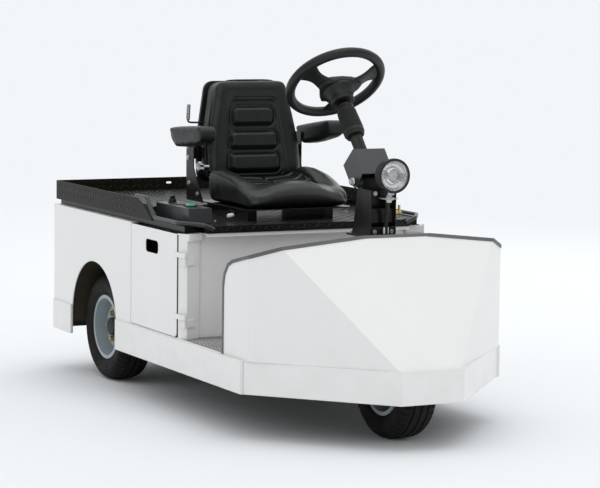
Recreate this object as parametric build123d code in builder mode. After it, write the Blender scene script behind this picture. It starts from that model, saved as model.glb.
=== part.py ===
"""Three-wheel electric baggage tug.

Frame: +X forward, +Y left, +Z up, millimetres, origin on the floor under the centre
of the vehicle's length and width.
"""

import os
from math import cos, radians, sin

from build123d import *

os.makedirs("parts", exist_ok=True)

# ---------------------------------------------------------------- body and bumpers
half_width = 559.0  # outer face of the side bands
band_thickness = 10.0
band_bottom = 172.0
band_top = 297.0
front_x = 1245.0  # outer face of the front bumper
front_half_width = 131.0  # half length of the bumper's front face
chamfer_x = 781.0  # where the bumper's chamfers start
band_front_rear_x = -446.0  # rear end of the long side bands
rear_x = -1169.0  # outer face of the rear bumper
bumper_wrap = 221.0  # length of the rear bumper's side arms
bumper_bend = 16.0
body_sheet = 4.0
body_top = 715.0
flange_width = 40.0  # turned-in top edge of the body sides
tail_inset = 2.0  # tail panel ahead of the bumper's outer face
wheelhouse_gap = 16.0  # rear wheelhouses outside the arches
arch_x = -704.5
arch_z = 261.0
arch_radius = 249.5

# ---------------------------------------------------------------- wheels
tyre_radius = 225.0
tyre_width = 148.0
tyre_crown = 7.0
bead_radius = 127.0
flange_radius = 136.0
rim_width = 124.0
rim_sheet = 6.0
rear_axle_x = -730.0
front_axle_x = 954.0
track_half = 422.0
hub_radius = 38.0
axle_pin_radius = 16.0
axle_fit = 0.5
hub_face = 34.0  # hub's outer end from the wheel's centre plane

# ---------------------------------------------------------------- floor and frame
floor_sheet = 6.0
floor_rear_x = -332.0
mat_thickness = 3.0
mat_gap = 4.0
mat_edge = 2.0  # mat's sides, in from the body sides
wheel_hole_radius = 250.0
wheelhouse_sheet = 4.0
wheelhouse_top = 480.0
rail_height = 90.0
rail_width = 50.0
wheelhouse_clearance = 22.0  # wheelhouses' inner walls, in from the rear tyres
rail_clearance = 31.0  # frame rails, in from the wheelhouses
rail_rear_z = 330.0  # underside of the rails over the rear axle
rail_step_rear_x = -470.0
rail_step_front_x = -372.0
rail_front_x = 660.0
cross_depth = 60.0

# ---------------------------------------------------------------- bulkhead, doors
post_x = 183.0  # outer edge of the posts beside the footwell
post_nose = (218.0, 21.0)  # front edge of the posts: X, and how far in from the side
post_inner = (188.0, 87.0)  # inner edge of the posts' wide faces
recess_x = 175.0
recess_inset = 89.0  # the bulkhead's flat panel, in from the side
post_cap = 8.0  # how far the caps stand proud of the posts
post_cap_height = 28.0
flange_drop = 14.0  # front lip of the bulkhead's top flange
door_rear_x = -296.0
door_front_x = 166.0
door_bottom = 303.0
door_top = 711.0
door_corner = 24.0
door_sheet = 3.0
door_seam = 5.0
hand_x = -85.0
hand_z = 638.0
hand_length = 128.0
hand_height = 52.0
hand_corner = 17.0
hinge_x = 224.0
hinge_inset = 8.0  # hinge pins, in from the side
strap_sheet = 6.0
strap_reach = 28.0  # hinge straps along the post's narrow face
strap_wide = 40.0  # and along its wide face
hinge_pin_radius = 4.0
hinge_fit = 0.4
knuckle_radius = 7.5
leaf_height = 20.0
leaf_sheet = 3.0
leaf_overlap = 26.0  # hinge leaves over the door's front edge
hinge_heights = (632.0, 388.0)  # middle of each door leaf
block_height = 30.0

# ---------------------------------------------------------------- decks and tray
deck_frame_bottom = 715.0
deck_frame_inset = 29.0  # in from the body sides
deck_tube = 25.0
deck_sheet = 4.0
deck_top = 744.0
deck_front_x = 236.0
deck_lip = 28.0
lip_inset = 79.0  # ends of the deck's front lip, in from the body sides
deck_corner_x = 118.0
deck_split_x = -430.0
cargo_top = 762.0
wall_inset = 14.0  # walls' outer faces, in from the body sides
wall_sheet = 4.0
wall_bottom = 736.0
wall_top = 817.0
wall_rear_x = -1181.0
wall_front_top_x = -280.0
wall_front_mid_x = -211.0
wall_front_mid_z = 796.0
wall_front_x = -112.0
wall_return = 36.0  # turned-in front edge of the side walls
slot_length = 26.0
slot_height = 9.0
slot_z = 793.0
rail_bar = 8.0  # radius of the guard rails' bar
console_rear_x = -215.0
console_front_x = 118.0
console_inset = 75.0  # console's outer side, in from the body side
console_width = 100.0
console_top = 803.0
console_sheet = 3.0

# ---------------------------------------------------------------- seat
slide_half = 172.0
slide_width = 38.0
slide_rear_x = -340.0
slide_front_x = 58.0
pan_top = 794.0
pan_sheet = 4.0
pan_half = 238.0
pan_front_x = 148.0
pan_rear_x = -330.0
bracket_plate = 4.0  # side brackets of the seat
bracket_outset = 8.0  # and how far outside the pan they stand
bracket_rear_x = -424.0
bracket_front_x = -352.0
bracket_top = 1066.0
cushion_top = 882.0
wing_top = 934.0
wing_width = 70.0
wing_crest = 112.0  # length of the wings' high part
cushion_crown = 8.0  # of the roll behind the cushion's front edge
cushion_rise = 22.0  # of the cushion's middle where it meets the backrest
cushion_front_x = 162.0
cushion_half = 236.0
cushion_gap = 0.3
back_bottom_x = -262.0
back_lean = 8.0
back_thickness = 110.0
back_half = 219.0
back_top_half = 163.0
back_shoulder = 150.0  # where the sides start to lean in, up the backrest
back_height = 420.0
back_corner = 42.0
back_top_corner = 72.0
shell_thickness = 14.0
lug_size = 14.0  # lugs on the seat brackets, at the edges of the backrest's shell
lug_height = 50.0
lug_z = 985.0
arm_gap = 4.0  # armrests outside the seat's brackets
arm_width = 76.0
arm_pivot = (-388.0, 1052.0)  # the armrests' pivot (X, Z)
arm_tilts = (4.0, 8.0)  # tilt of the right and of the left armrest
arm_profile = [
    (-38.0, 34.0),
    (-34.0, 42.0),
    (262.0, 42.0),
    (278.0, 28.0),
    (283.0, 4.0),
    (272.0, -20.0),
    (230.0, -31.0),
    (130.0, -38.0),
    (20.0, -40.0),
    (-22.0, -8.0),
]

# ---------------------------------------------------------------- cowl
cowl_sheet = 3.0
cowl_inset = 9.0  # cowl's flat flanks, in from the body sides
cowl_rear_x = 577.0
cowl_crease = (806.0, 11.0)  # flank crease: X, and how far in from the body side
cowl_nose = (1224.0, 130.0)  # plan position of the bottom front corner
cowl_crease_z = 692.0  # top of the flank crease
cowl_shoulder = (895.0, 446.0, 728.0)
cowl_crown = (937.0, 130.0, 764.0)
trim_width = 10.0  # rubber trim over the cowl's free edge
trim_wall = 3.0

# ---------------------------------------------------------------- steering
column_base = (676.0, 1036.0)  # where the column's line meets the bracket's top (X, Z)
column_lean = 48.5  # the column's line from the horizontal, leaning back
column_length = 368.0
column_radius = 21.0
column_shaft = 12.0  # radius of the shaft that turns the steering wheel
bracket_sheet = 4.0
bracket_depth = 102.0
bracket_half = 68.0
bracket_shift = 4.0
bracket_length = 118.0
pivot_across = -9.0  # the tilt pivot, from the column's line
pivot_drop = 107.0  # and below the bracket's top
pivot_radius = 8.0
knuckle_disc = 23.0  # spacers between the bracket and the tower
nut_radius = 15.0
nut_depth = 12.0
boot_length = 127.0  # rubber sleeve on the column
boot_collar = 20.0
boot_foot = 41.0
boot_head = 37.0
ring_radius = 35.0  # plain ring on the column over the sleeve
ring_length = 17.0
ring_gap = 17.0  # between the ring and the foot of the wheel's hub
wheel_radius = 183.0  # to the middle of the steering wheel's bar
wheel_bar = 19.0
spoke_angle = 66.0  # side spokes, from the top of the wheel
spoke_breadth = 60.0
pad_radius = 80.0  # half width of the wheel's centre pad
pad_rise = 42.0  # the pad's top corners, the top of its bow and its foot
pad_crown = 62.0
pad_drop = 58.0
pad_face = -20.0  # the pad's face, its back and the hub's foot, from the rim's plane
pad_back = -52.0
hub_foot = -106.0
shaft_end = 34.0  # upper end of the column's shaft, below the rim's plane
tower_half = 54.0
tower_front_x = 843.0
tower_rear_x = 763.0
tower_sheet = 4.0
tower_top = 925.0
lug_bow = 6.0  # how far the rear edge of the tower's lug bows in
tower_post_rear = 720.0
shelf_z = 742.0
shelf_sheet = 8.0
shelf_rear_x = 662.0
shelf_front_x = 852.0
shelf_half = 62.0
pedal_x = 640.0  # rear edges of the pedals
pedal_right_y = -236.0
pedal_brake_y = -140.0
pedal_width = 64.0
pedal_length = 84.0
lamp_radius = 62.0
lamp_x = 929.0
lamp_z = 984.0
lamp_depth = 70.0
fork_stem_radius = 25.0
head_radius = 42.0
head_top = 610.0
head_fit = 0.5
fork_half = 92.0
fork_plate = 12.0
fork_crown_z = 458.0

side_y = half_width - band_thickness
wheelhouse_inner = track_half - tyre_width / 2 - wheelhouse_clearance
rail_y = wheelhouse_inner - rail_clearance - rail_width / 2
recess_half = side_y - recess_inset
deck_frame_half = side_y - deck_frame_inset
lip_half = side_y - lip_inset
wall_half = side_y - wall_inset
cowl_half = side_y - cowl_inset
hinge_y = side_y - hinge_inset
console_outer = side_y - console_inset
seat_bracket_y = pan_half + bracket_outset
arm_inner = seat_bracket_y + bracket_plate + arm_gap
floor_top = band_top
lean = radians(column_lean)
boot_end = column_length + hub_foot - ring_gap - ring_length
boot_start = boot_end - boot_length
column_up = (-cos(lean), 0.0, sin(lean))
column_across = (sin(lean), 0.0, cos(lean))
pivot_x = column_base[0] + pivot_across * sin(lean) + pivot_drop * cos(lean)
pivot_z = column_base[1] + pivot_across * cos(lean) - pivot_drop * sin(lean)


def write(shape, label):
    """Label a finished piece and write its STEP file."""
    shape.label = label
    export_step(shape, f"parts/{label}.step")


def mirrored(shape):
    """The same piece on the other side of the vehicle."""
    return mirror(shape, about=Plane.XZ)


def beside(points, distance):
    """The points of a bent line moved sideways, to its right, with mitred corners."""
    moved = []
    for i, point in enumerate(points):
        before = Vector(*points[max(i - 1, 0)])
        here = Vector(*point)
        after = Vector(*points[min(i + 1, len(points) - 1)])
        sides = []
        for start, end in ((before, here), (here, after)):
            if (end - start).length > 0:
                run = (end - start).normalized()
                sides.append(Vector(run.Y, -run.X))
        total = sides[0] + sides[-1]
        corner = here + total * (2 * distance / total.dot(total))
        moved.append((corner.X, corner.Y))
    return moved


def facing(p, q, r, inside):
    """Plane through three points whose normal points away from the point inside."""
    p, q, r = Vector(*p), Vector(*q), Vector(*r)
    normal = (q - p).cross(r - p).normalized()
    if normal.dot(Vector(*inside) - p) > 0:
        normal = -normal
    return Plane(origin=p, z_dir=normal)


# ================================================================ bumpers and bands
with BuildPart() as front_bumper:
    with BuildSketch(Plane.XY.offset(band_bottom)):
        with BuildLine():
            Polyline(
                (chamfer_x, side_y),
                (front_x, front_half_width),
                (front_x, -front_half_width),
                (chamfer_x, -side_y),
                (chamfer_x, band_thickness - side_y),
                (front_x - band_thickness, band_thickness * 0.55 - front_half_width),
                (front_x - band_thickness, front_half_width - band_thickness * 0.55),
                (chamfer_x, side_y - band_thickness),
                close=True,
            )
        make_face()
    extrude(amount=band_top - band_bottom)
write(front_bumper.part, "front_bumper")

with BuildPart() as rear_bumper:
    with BuildSketch(Plane.XY.offset(band_bottom)):
        with Locations((rear_x + bumper_wrap / 2, 0)):
            Rectangle(bumper_wrap, 2 * half_width)
        with Locations((rear_x + band_thickness + bumper_wrap / 2, 0)):
            Rectangle(bumper_wrap, 2 * side_y, mode=Mode.SUBTRACT)
    extrude(amount=band_top - band_bottom)
    outer = rear_bumper.edges().filter_by(Axis.Z).sort_by(Axis.X)[0:2]
    fillet(outer, radius=bumper_bend)
write(rear_bumper.part, "rear_bumper")

with BuildPart() as side_band:
    with BuildSketch(Plane.XZ.offset(side_y)):
        with Locations(((chamfer_x + band_front_rear_x) / 2, (band_top + band_bottom) / 2)):
            Rectangle(chamfer_x - band_front_rear_x, band_top - band_bottom)
    extrude(amount=band_thickness)
write(side_band.part, "side_band_right")
write(mirrored(side_band.part), "side_band_left")

# ================================================================ floor
floor_outline = [
    (floor_rear_x, side_y - body_sheet - 4),
    (post_x, side_y - body_sheet - 4),
    (post_x, side_y),
    (chamfer_x, side_y),
    (chamfer_x, side_y - band_thickness),
    (front_x - band_thickness, front_half_width - band_thickness * 0.55),
]
with BuildPart() as floor_pan:
    with BuildSketch(Plane.XY.offset(floor_top - floor_sheet)):
        with BuildLine():
            Polyline(
                *floor_outline,
                *[(x, -y) for x, y in reversed(floor_outline)],
                close=True,
            )
        make_face()
        with Locations((front_axle_x, 0)):
            Circle(wheel_hole_radius, mode=Mode.SUBTRACT)
    extrude(amount=floor_sheet)
write(floor_pan.part, "floor_pan")

with BuildPart() as floor_mat:
    with BuildSketch(Plane.XY.offset(floor_top)):
        with BuildLine():
            Polyline(
                (recess_x + mat_gap, -recess_half),
                (post_inner[0] + mat_gap, post_inner[1] - side_y),
                (post_nose[0] + 2 * mat_gap, post_nose[1] - side_y),
                (post_nose[0] + 3 * mat_gap, mat_edge - side_y),
                (cowl_rear_x - mat_gap, mat_edge - side_y),
                (cowl_rear_x - mat_gap, side_y - mat_edge),
                (post_nose[0] + 3 * mat_gap, side_y - mat_edge),
                (post_nose[0] + 2 * mat_gap, side_y - post_nose[1]),
                (post_inner[0] + mat_gap, side_y - post_inner[1]),
                (recess_x + mat_gap, recess_half),
                close=True,
            )
        make_face()
    extrude(amount=mat_thickness)
write(floor_mat.part, "floor_mat")

# ================================================================ body sides
side_front_x = post_x - body_sheet  # where the side meets the post
with BuildPart() as body_side:
    with BuildSketch(Plane.XZ.offset(side_y - body_sheet)) as side_face:
        with Locations(
            (
                (rear_x + tail_inset + body_sheet + side_front_x) / 2,
                (body_top + band_bottom) / 2,
            )
        ):
            Rectangle(side_front_x - rear_x - tail_inset - body_sheet, body_top - band_bottom)
        with Locations((arch_x, arch_z)):
            Circle(arch_radius, mode=Mode.SUBTRACT)
        with Locations((arch_x, (arch_z + band_bottom) / 2)):
            Rectangle(2 * arch_radius, arch_z - band_bottom, mode=Mode.SUBTRACT)
        door_hole_rear = door_rear_x - door_seam
        door_hole_front = door_front_x + door_seam
        door_hole_bottom = floor_top
        door_hole_top = body_top + 1
        with Locations(
            (
                (door_hole_rear + door_hole_front) / 2,
                (door_hole_bottom + door_hole_top) / 2,
            )
        ):
            Rectangle(
                door_hole_front - door_hole_rear,
                door_hole_top - door_hole_bottom,
                mode=Mode.SUBTRACT,
            )
        # the lower strip stops at the rear bumper's inner face
        with Locations((rear_x + band_thickness - 5, (band_bottom + band_top) / 2)):
            Rectangle(10, band_top - band_bottom, mode=Mode.SUBTRACT)
    extrude(amount=body_sheet)
    with BuildSketch(Plane.XY.offset(body_top - door_sheet)):
        with Locations(
            (
                (rear_x + tail_inset + body_sheet + side_front_x) / 2,
                -side_y + flange_width / 2,
            )
        ):
            Rectangle(side_front_x - rear_x - tail_inset - body_sheet, flange_width)
        with Locations(((door_hole_rear + side_front_x) / 2, -side_y + flange_width / 2)):
            Rectangle(side_front_x - door_hole_rear, flange_width, mode=Mode.SUBTRACT)
    extrude(amount=door_sheet)
write(body_side.part, "body_side_right")
write(mirrored(body_side.part), "body_side_left")

with BuildPart() as tail_panel:
    tail_x = rear_x + tail_inset
    with BuildSketch(Plane.YZ.offset(tail_x)):
        with Locations((0, (body_top + band_top) / 2)):
            Rectangle(2 * side_y, body_top - band_top)
    extrude(amount=body_sheet)
write(tail_panel.part, "tail_panel")

# rear wheelhouses: an arched sheet over each rear wheel and its inner wall
wheelhouse_outer = side_y - body_sheet
wheelhouse_radius = arch_radius + wheelhouse_gap
with BuildPart() as rear_wheelhouse:
    with BuildSketch(Plane.XZ.offset(wheelhouse_inner)):
        with Locations((arch_x, arch_z)):
            Circle(wheelhouse_radius)
        with Locations((arch_x, (arch_z + band_top) / 2 - 40)):
            Rectangle(2 * wheelhouse_radius, band_top - arch_z + 80)
        with Locations((arch_x, 0)):
            Rectangle(3 * wheelhouse_radius, 2 * (arch_z - 40), mode=Mode.SUBTRACT)
    extrude(amount=wheelhouse_outer - wheelhouse_inner)
    with BuildSketch(Plane.XZ.offset(wheelhouse_inner + wheelhouse_sheet)):
        with Locations((arch_x, arch_z)):
            Circle(wheelhouse_radius - wheelhouse_sheet)
        with Locations((arch_x, arch_z - 50)):
            Rectangle(2 * (wheelhouse_radius - wheelhouse_sheet), 100)
    extrude(amount=wheelhouse_outer, mode=Mode.SUBTRACT)
    with BuildSketch(Plane.XZ.offset(wheelhouse_inner - 1)):
        with Locations((rear_axle_x, tyre_radius)):
            Circle(60)
        with Locations((rear_axle_x, tyre_radius - 60)):
            Rectangle(120, 120)
    extrude(amount=wheelhouse_sheet + 2, mode=Mode.SUBTRACT)
write(rear_wheelhouse.part, "wheelhouse_right")
write(mirrored(rear_wheelhouse.part), "wheelhouse_left")

# ================================================================ front bulkhead
bulkhead_half_line = [
    (side_front_x, side_y),
    (post_x, side_y),
    (post_nose[0], side_y - post_nose[1]),
    (post_inner[0], side_y - post_inner[1]),
    (recess_x, recess_half),
]
bulkhead_line = bulkhead_half_line + [(x, -y) for x, y in reversed(bulkhead_half_line)]
flange_front = deck_front_x - deck_sheet - 2
with BuildPart() as front_bulkhead:
    with BuildSketch(Plane.XY.offset(floor_top)):
        with BuildLine():
            Polyline(
                *bulkhead_line,
                *reversed(beside(bulkhead_line, body_sheet)),
                close=True,
            )
        make_face()
    extrude(amount=body_top - floor_top)
    # caps over the tops of the posts' wide faces
    for side in (1, -1):
        with BuildSketch(Plane.XY.offset(body_top - post_cap_height)):
            with BuildLine():
                Polyline(
                    (post_nose[0], side * (side_y - post_nose[1])),
                    (post_nose[0] + post_cap, side * (side_y - post_nose[1] - post_cap / 2)),
                    (post_inner[0] + post_cap, side * (side_y - post_inner[1] - post_cap)),
                    (post_inner[0], side * (side_y - post_inner[1])),
                    close=True,
                )
            make_face()
        extrude(amount=post_cap_height)
    # top flange with its lip, under the front edge of the deck
    with Locations(((recess_x + flange_front) / 2, 0, body_top - body_sheet / 2)):
        Box(flange_front - recess_x, 2 * (recess_half - post_cap), body_sheet)
    with Locations((flange_front - body_sheet / 2, 0, body_top - flange_drop / 2)):
        Box(body_sheet, 2 * (recess_half - post_cap), flange_drop)
write(front_bulkhead.part, "front_bulkhead")

# ================================================================ chassis frame
rail_top = floor_top - floor_sheet
rail_profile = [
    (rear_x + band_thickness, rail_rear_z),
    (rail_step_rear_x, rail_rear_z),
    (rail_step_front_x, rail_top - rail_height),
    (rail_front_x, rail_top - rail_height),
    (rail_front_x, rail_top),
    (rail_step_front_x + 22, rail_top),
    (rail_step_rear_x + 22, rail_rear_z + rail_height),
    (rear_x + band_thickness, rail_rear_z + rail_height),
]
with BuildPart() as frame:
    for y in (-rail_y, rail_y):
        with BuildSketch(Plane.XZ.offset(-y - rail_width / 2)):
            with BuildLine():
                Polyline(*rail_profile, close=True)
            make_face()
        extrude(amount=rail_width)
    for x, z in (
        (rail_front_x - cross_depth / 2, rail_top - rail_height / 2),
        (-300.0, rail_top - rail_height / 2),
        (rail_step_rear_x - cross_depth, rail_rear_z + rail_height / 2),
    ):
        with Locations((x, 0, z)):
            Box(cross_depth, 2 * rail_y - rail_width, rail_height)
    # outriggers out to the side bands
    for x, reach in (
        (rail_front_x - cross_depth / 2, side_y),
        (150.0, side_y - body_sheet),
    ):
        with Locations((x, 0, rail_top - 25)):
            Box(cross_depth, 2 * reach, 50)
    # rear cross plate behind the rear bumper
    with Locations((rear_x + band_thickness + 6, 0, (band_bottom + rail_rear_z + rail_height) / 2)):
        Box(12, 2 * (side_y - body_sheet), rail_rear_z + rail_height - band_bottom)
write(frame.part, "frame")

# upright posts and the tube frame under the decks
with BuildPart() as deck_frame:
    for y in (-1, 1):
        with Locations(
            (
                (tail_x + body_sheet + recess_x - body_sheet) / 2,
                y * (deck_frame_half - deck_tube / 2),
                deck_frame_bottom + deck_tube / 2,
            )
        ):
            Box(recess_x - tail_x - 2 * body_sheet, deck_tube, deck_tube)
    for x in (tail_x + body_sheet + deck_tube / 2, deck_split_x, -150.0, recess_x - body_sheet - deck_tube / 2):
        with Locations((x, 0, deck_frame_bottom + deck_tube / 2)):
            Box(deck_tube, 2 * deck_frame_half - deck_tube, deck_tube)
write(deck_frame.part, "deck_frame")

# ================================================================ decks
deck_under = deck_top - deck_sheet
deck_half = wall_half - wall_sheet
with BuildPart() as seat_deck:
    with BuildSketch(Plane.XY.offset(deck_under)):
        with BuildLine():
            Polyline(
                (deck_split_x, -deck_half),
                (deck_corner_x, -deck_half),
                (deck_front_x, -lip_half),
                (deck_front_x, lip_half),
                (deck_corner_x, deck_half),
                (deck_split_x, deck_half),
                close=True,
            )
        make_face()
    extrude(amount=deck_sheet)
    with BuildSketch(Plane.YZ.offset(deck_front_x - deck_sheet)):
        with BuildLine():
            Polyline(
                (-lip_half, deck_under),
                (deck_lip * 0.75 - lip_half, deck_top - deck_lip),
                (lip_half - deck_lip * 0.75, deck_top - deck_lip),
                (lip_half, deck_under),
                close=True,
            )
        make_face()
    extrude(amount=deck_sheet)
write(seat_deck.part, "seat_deck")

with BuildPart() as cargo_deck:
    cargo_rear_x = wall_rear_x + wall_sheet
    cargo_length = deck_split_x - cargo_rear_x
    with BuildSketch(Plane.XY.offset(deck_under)):
        with Locations(((deck_split_x + cargo_rear_x) / 2, 0)):
            Rectangle(cargo_length, 2 * deck_half)
    extrude(amount=cargo_top - deck_under)
    with BuildSketch(Plane.XY.offset(deck_under)):
        with Locations(((deck_split_x + cargo_rear_x) / 2, 0)):
            Rectangle(cargo_length - 2 * deck_sheet, 2 * (deck_half - deck_sheet))
    extrude(amount=cargo_top - deck_under - deck_sheet, mode=Mode.SUBTRACT)
write(cargo_deck.part, "cargo_deck")

with BuildPart() as deck_walls:
    for y in (-wall_half, wall_half - wall_sheet):
        with BuildSketch(Plane.XZ.offset(-y - wall_sheet)):
            with BuildLine():
                Polyline(
                    (wall_rear_x, wall_bottom),
                    (wall_front_x, wall_bottom),
                    (wall_front_mid_x, wall_front_mid_z),
                    (wall_front_top_x, wall_top),
                    (wall_rear_x, wall_top),
                    close=True,
                )
            make_face()
        extrude(amount=wall_sheet)
    # turned-in flanges along the slanted front edges of the side walls
    edge = beside([(wall_front_mid_x, wall_front_mid_z), (wall_front_x, wall_bottom)], wall_sheet)
    for y in (-wall_half, wall_half - wall_return):
        with BuildSketch(Plane.XZ.offset(-y - wall_return)):
            with BuildLine():
                Polyline(
                    (wall_front_mid_x, wall_front_mid_z),
                    (wall_front_x, wall_bottom),
                    edge[1],
                    edge[0],
                    close=True,
                )
            make_face()
            with Locations((0, deck_top - 50)):
                Rectangle(4000, 100, mode=Mode.SUBTRACT)
        extrude(amount=wall_return)
    with BuildSketch(Plane.YZ.offset(wall_rear_x)):
        with Locations((0, (wall_bottom + wall_top) / 2)):
            Rectangle(2 * wall_half, wall_top - wall_bottom)
        with Locations((0, slot_z)):
            SlotOverall(slot_length, slot_height, mode=Mode.SUBTRACT)
    extrude(amount=wall_sheet)
write(deck_walls.part, "deck_walls")

rail_y_line = wall_half
rail_z_line = deck_top + rail_bar
rail_points = [
    (wall_front_top_x - 4, -rail_y_line, wall_top + rail_bar),
    (-176, -rail_y_line, wall_top + rail_bar),
    (-88, -rail_y_line, rail_z_line),
    (140, -rail_y_line, rail_z_line),
    (deck_front_x + rail_bar + 0.2, -rail_y_line + 62, rail_z_line),
    (deck_front_x + rail_bar + 0.2, -rail_y_line + 108, deck_top - 12),
]
with BuildPart() as guard_rail:
    with BuildLine() as rail_path:
        FilletPolyline(*rail_points, radius=22)
    with BuildSketch(Plane(origin=rail_path.wire() @ 0, z_dir=rail_path.wire() % 0)):
        Circle(rail_bar)
    sweep()
write(guard_rail.part, "guard_rail_right")
write(mirrored(guard_rail.part), "guard_rail_left")

# ================================================================ console
with BuildPart() as console:
    with BuildSketch(Plane.XZ.offset(console_outer - console_width)):
        with BuildLine():
            Polyline(
                (console_rear_x, deck_top),
                (console_front_x, deck_top),
                (console_front_x - 12, console_top),
                (console_rear_x, console_top),
                close=True,
            )
        make_face()
    extrude(amount=console_width)
    offset(amount=-console_sheet, openings=console.faces().sort_by(Axis.Z)[0])
write(console.part, "console")

# ================================================================ seat
with BuildPart() as seat_slides:
    for y in (-slide_half, slide_half):
        with BuildSketch(Plane.YZ.offset(slide_rear_x)):
            with Locations((y, (deck_top + pan_top - pan_sheet) / 2)):
                Rectangle(slide_width, pan_top - pan_sheet - deck_top)
        extrude(amount=slide_front_x - slide_rear_x)
write(seat_slides.part, "seat_slides")

with BuildPart() as seat_pan:
    with BuildSketch(Plane.XY.offset(pan_top - pan_sheet)):
        with Locations(((pan_front_x + pan_rear_x) / 2, 0)):
            RectangleRounded(pan_front_x - pan_rear_x, 2 * pan_half, 40)
    extrude(amount=pan_sheet)
    # side brackets that rise from the pan and carry the backrest and the armrests
    foot_rear_x = bracket_rear_x + 4
    foot_front_x = back_bottom_x + 7
    for y in (-seat_bracket_y - bracket_plate, seat_bracket_y):
        with BuildSketch(Plane.XZ.offset(-y - bracket_plate)):
            with BuildLine():
                Polyline(
                    (foot_rear_x, pan_top - pan_sheet),
                    (foot_front_x, pan_top - pan_sheet),
                    (bracket_front_x + 32, cushion_top - 4),
                    (bracket_front_x, cushion_top + 46),
                    (bracket_front_x, bracket_top),
                    (bracket_rear_x, bracket_top),
                    (bracket_rear_x, cushion_top + 16),
                    close=True,
                )
            make_face()
        extrude(amount=bracket_plate)
    lug_x = back_bottom_x - 4 - (back_thickness + shell_thickness / 2) / cos(radians(back_lean))
    lug_x = lug_x - (lug_z - cushion_top) * sin(radians(back_lean)) / cos(radians(back_lean))
    foot_width = seat_bracket_y - pan_half + 12
    for y in (-1, 1):
        with Locations(
            (
                (foot_rear_x + foot_front_x) / 2,
                y * (seat_bracket_y + bracket_plate - foot_width / 2 - 2),
                pan_top - pan_sheet / 2,
            )
        ):
            Box(foot_front_x - foot_rear_x, foot_width, pan_sheet)
        # lugs that the backrest's shell is bolted to
        with Locations((lug_x, y * (back_half + seat_bracket_y) / 2, lug_z)):
            Box(lug_size, seat_bracket_y - back_half, lug_height)
write(seat_pan.part, "seat_pan")

cushion_rear_x = back_bottom_x - 16
wing_rear_x = back_bottom_x + 4
with BuildPart() as seat_cushion:
    with BuildSketch(Plane.XZ.offset(-cushion_half)):
        with BuildLine():
            Polyline(
                (cushion_rear_x, pan_top + cushion_gap),
                (cushion_front_x - 22, pan_top + cushion_gap),
                (cushion_front_x - 4, pan_top + 18),
                (cushion_front_x, pan_top + 40),
                (cushion_front_x - 12, cushion_top - 24),
                (cushion_front_x - 38, cushion_top - 4),
                (cushion_front_x - 80, cushion_top + cushion_crown),
                (cushion_rear_x + 190, cushion_top + cushion_crown - 4),
                (wing_rear_x, cushion_top + cushion_rise),
                (wing_rear_x, cushion_top - 22),
                (cushion_rear_x, cushion_top - 22),
                close=True,
            )
        make_face()
    extrude(amount=2 * cushion_half)
    # wings that rise along both sides towards the backrest
    for y in (cushion_half - wing_width, -cushion_half):
        with BuildSketch(Plane.XZ.offset(y)):
            with BuildLine():
                Polyline(
                    (wing_rear_x, cushion_top - 24),
                    (cushion_front_x - 70, cushion_top - 24),
                    (cushion_front_x - 90, cushion_top + cushion_crown + 3),
                    (cushion_front_x - 150, cushion_top + cushion_crown + 12),
                    (wing_rear_x + wing_crest, wing_top - 6),
                    (wing_rear_x + wing_crest - 40, wing_top),
                    (wing_rear_x + 20, wing_top - 2),
                    (wing_rear_x, wing_top - 18),
                    close=True,
                )
            make_face()
        extrude(amount=wing_width)
    fillet(seat_cushion.edges().filter_by(Axis.Z), radius=12)
write(seat_cushion.part, "seat_cushion")

back_plane = Plane(
    origin=(back_bottom_x - 4, 0, cushion_top - 2),
    x_dir=(0, -1, 0),
    z_dir=(-cos(radians(back_lean)), 0, -sin(radians(back_lean))),
)
back_outline = [
    (-back_half, 0),
    (-back_half, back_shoulder),
    (-back_top_half, back_height),
    (back_top_half, back_height),
    (back_half, back_shoulder),
    (back_half, 0),
]
for label, start, depth in (
    ("seat_back", 0.0, back_thickness),
    ("seat_back_shell", back_thickness + cushion_gap, shell_thickness),
):
    with BuildPart() as backrest:
        with BuildSketch(back_plane.offset(start)):
            with BuildLine():
                Polyline(*back_outline, close=True)
            face = make_face()
            high = [v for v in face.vertices() if v.Z > cushion_top + back_shoulder + 50]
            low = [v for v in face.vertices() if v.Z <= cushion_top + back_shoulder + 50]
            fillet(low, radius=back_corner)
            fillet(high, radius=back_top_corner)
        extrude(amount=depth)
    write(backrest.part, label)

for label, side, tilt in (("armrest_right", -1, arm_tilts[0]), ("armrest_left", 1, arm_tilts[1])):
    pitch = radians(tilt)
    arm_plane = Plane(
        origin=(arm_pivot[0], side * arm_inner, arm_pivot[1]),
        x_dir=(cos(pitch), 0, sin(pitch)),
        z_dir=(0, -1, 0),
    )
    with BuildPart() as armrest:
        with BuildSketch(arm_plane):
            with BuildLine():
                Polyline(*arm_profile, close=True)
            make_face()
        extrude(amount=-side * arm_width)
        # boss that the armrest turns on
        with BuildSketch(arm_plane):
            Circle(18)
        extrude(amount=side * arm_gap)
    write(armrest.part, label)

# ================================================================ cowl
nose_low = (cowl_nose[0], cowl_nose[1], floor_top)
crease_low = (cowl_crease[0], side_y - cowl_crease[1], floor_top)
crease_high = (cowl_crease[0], side_y - cowl_crease[1], cowl_crease_z)
cowl_inside = (cowl_rear_x, 0.0, floor_top + 100)


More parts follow.
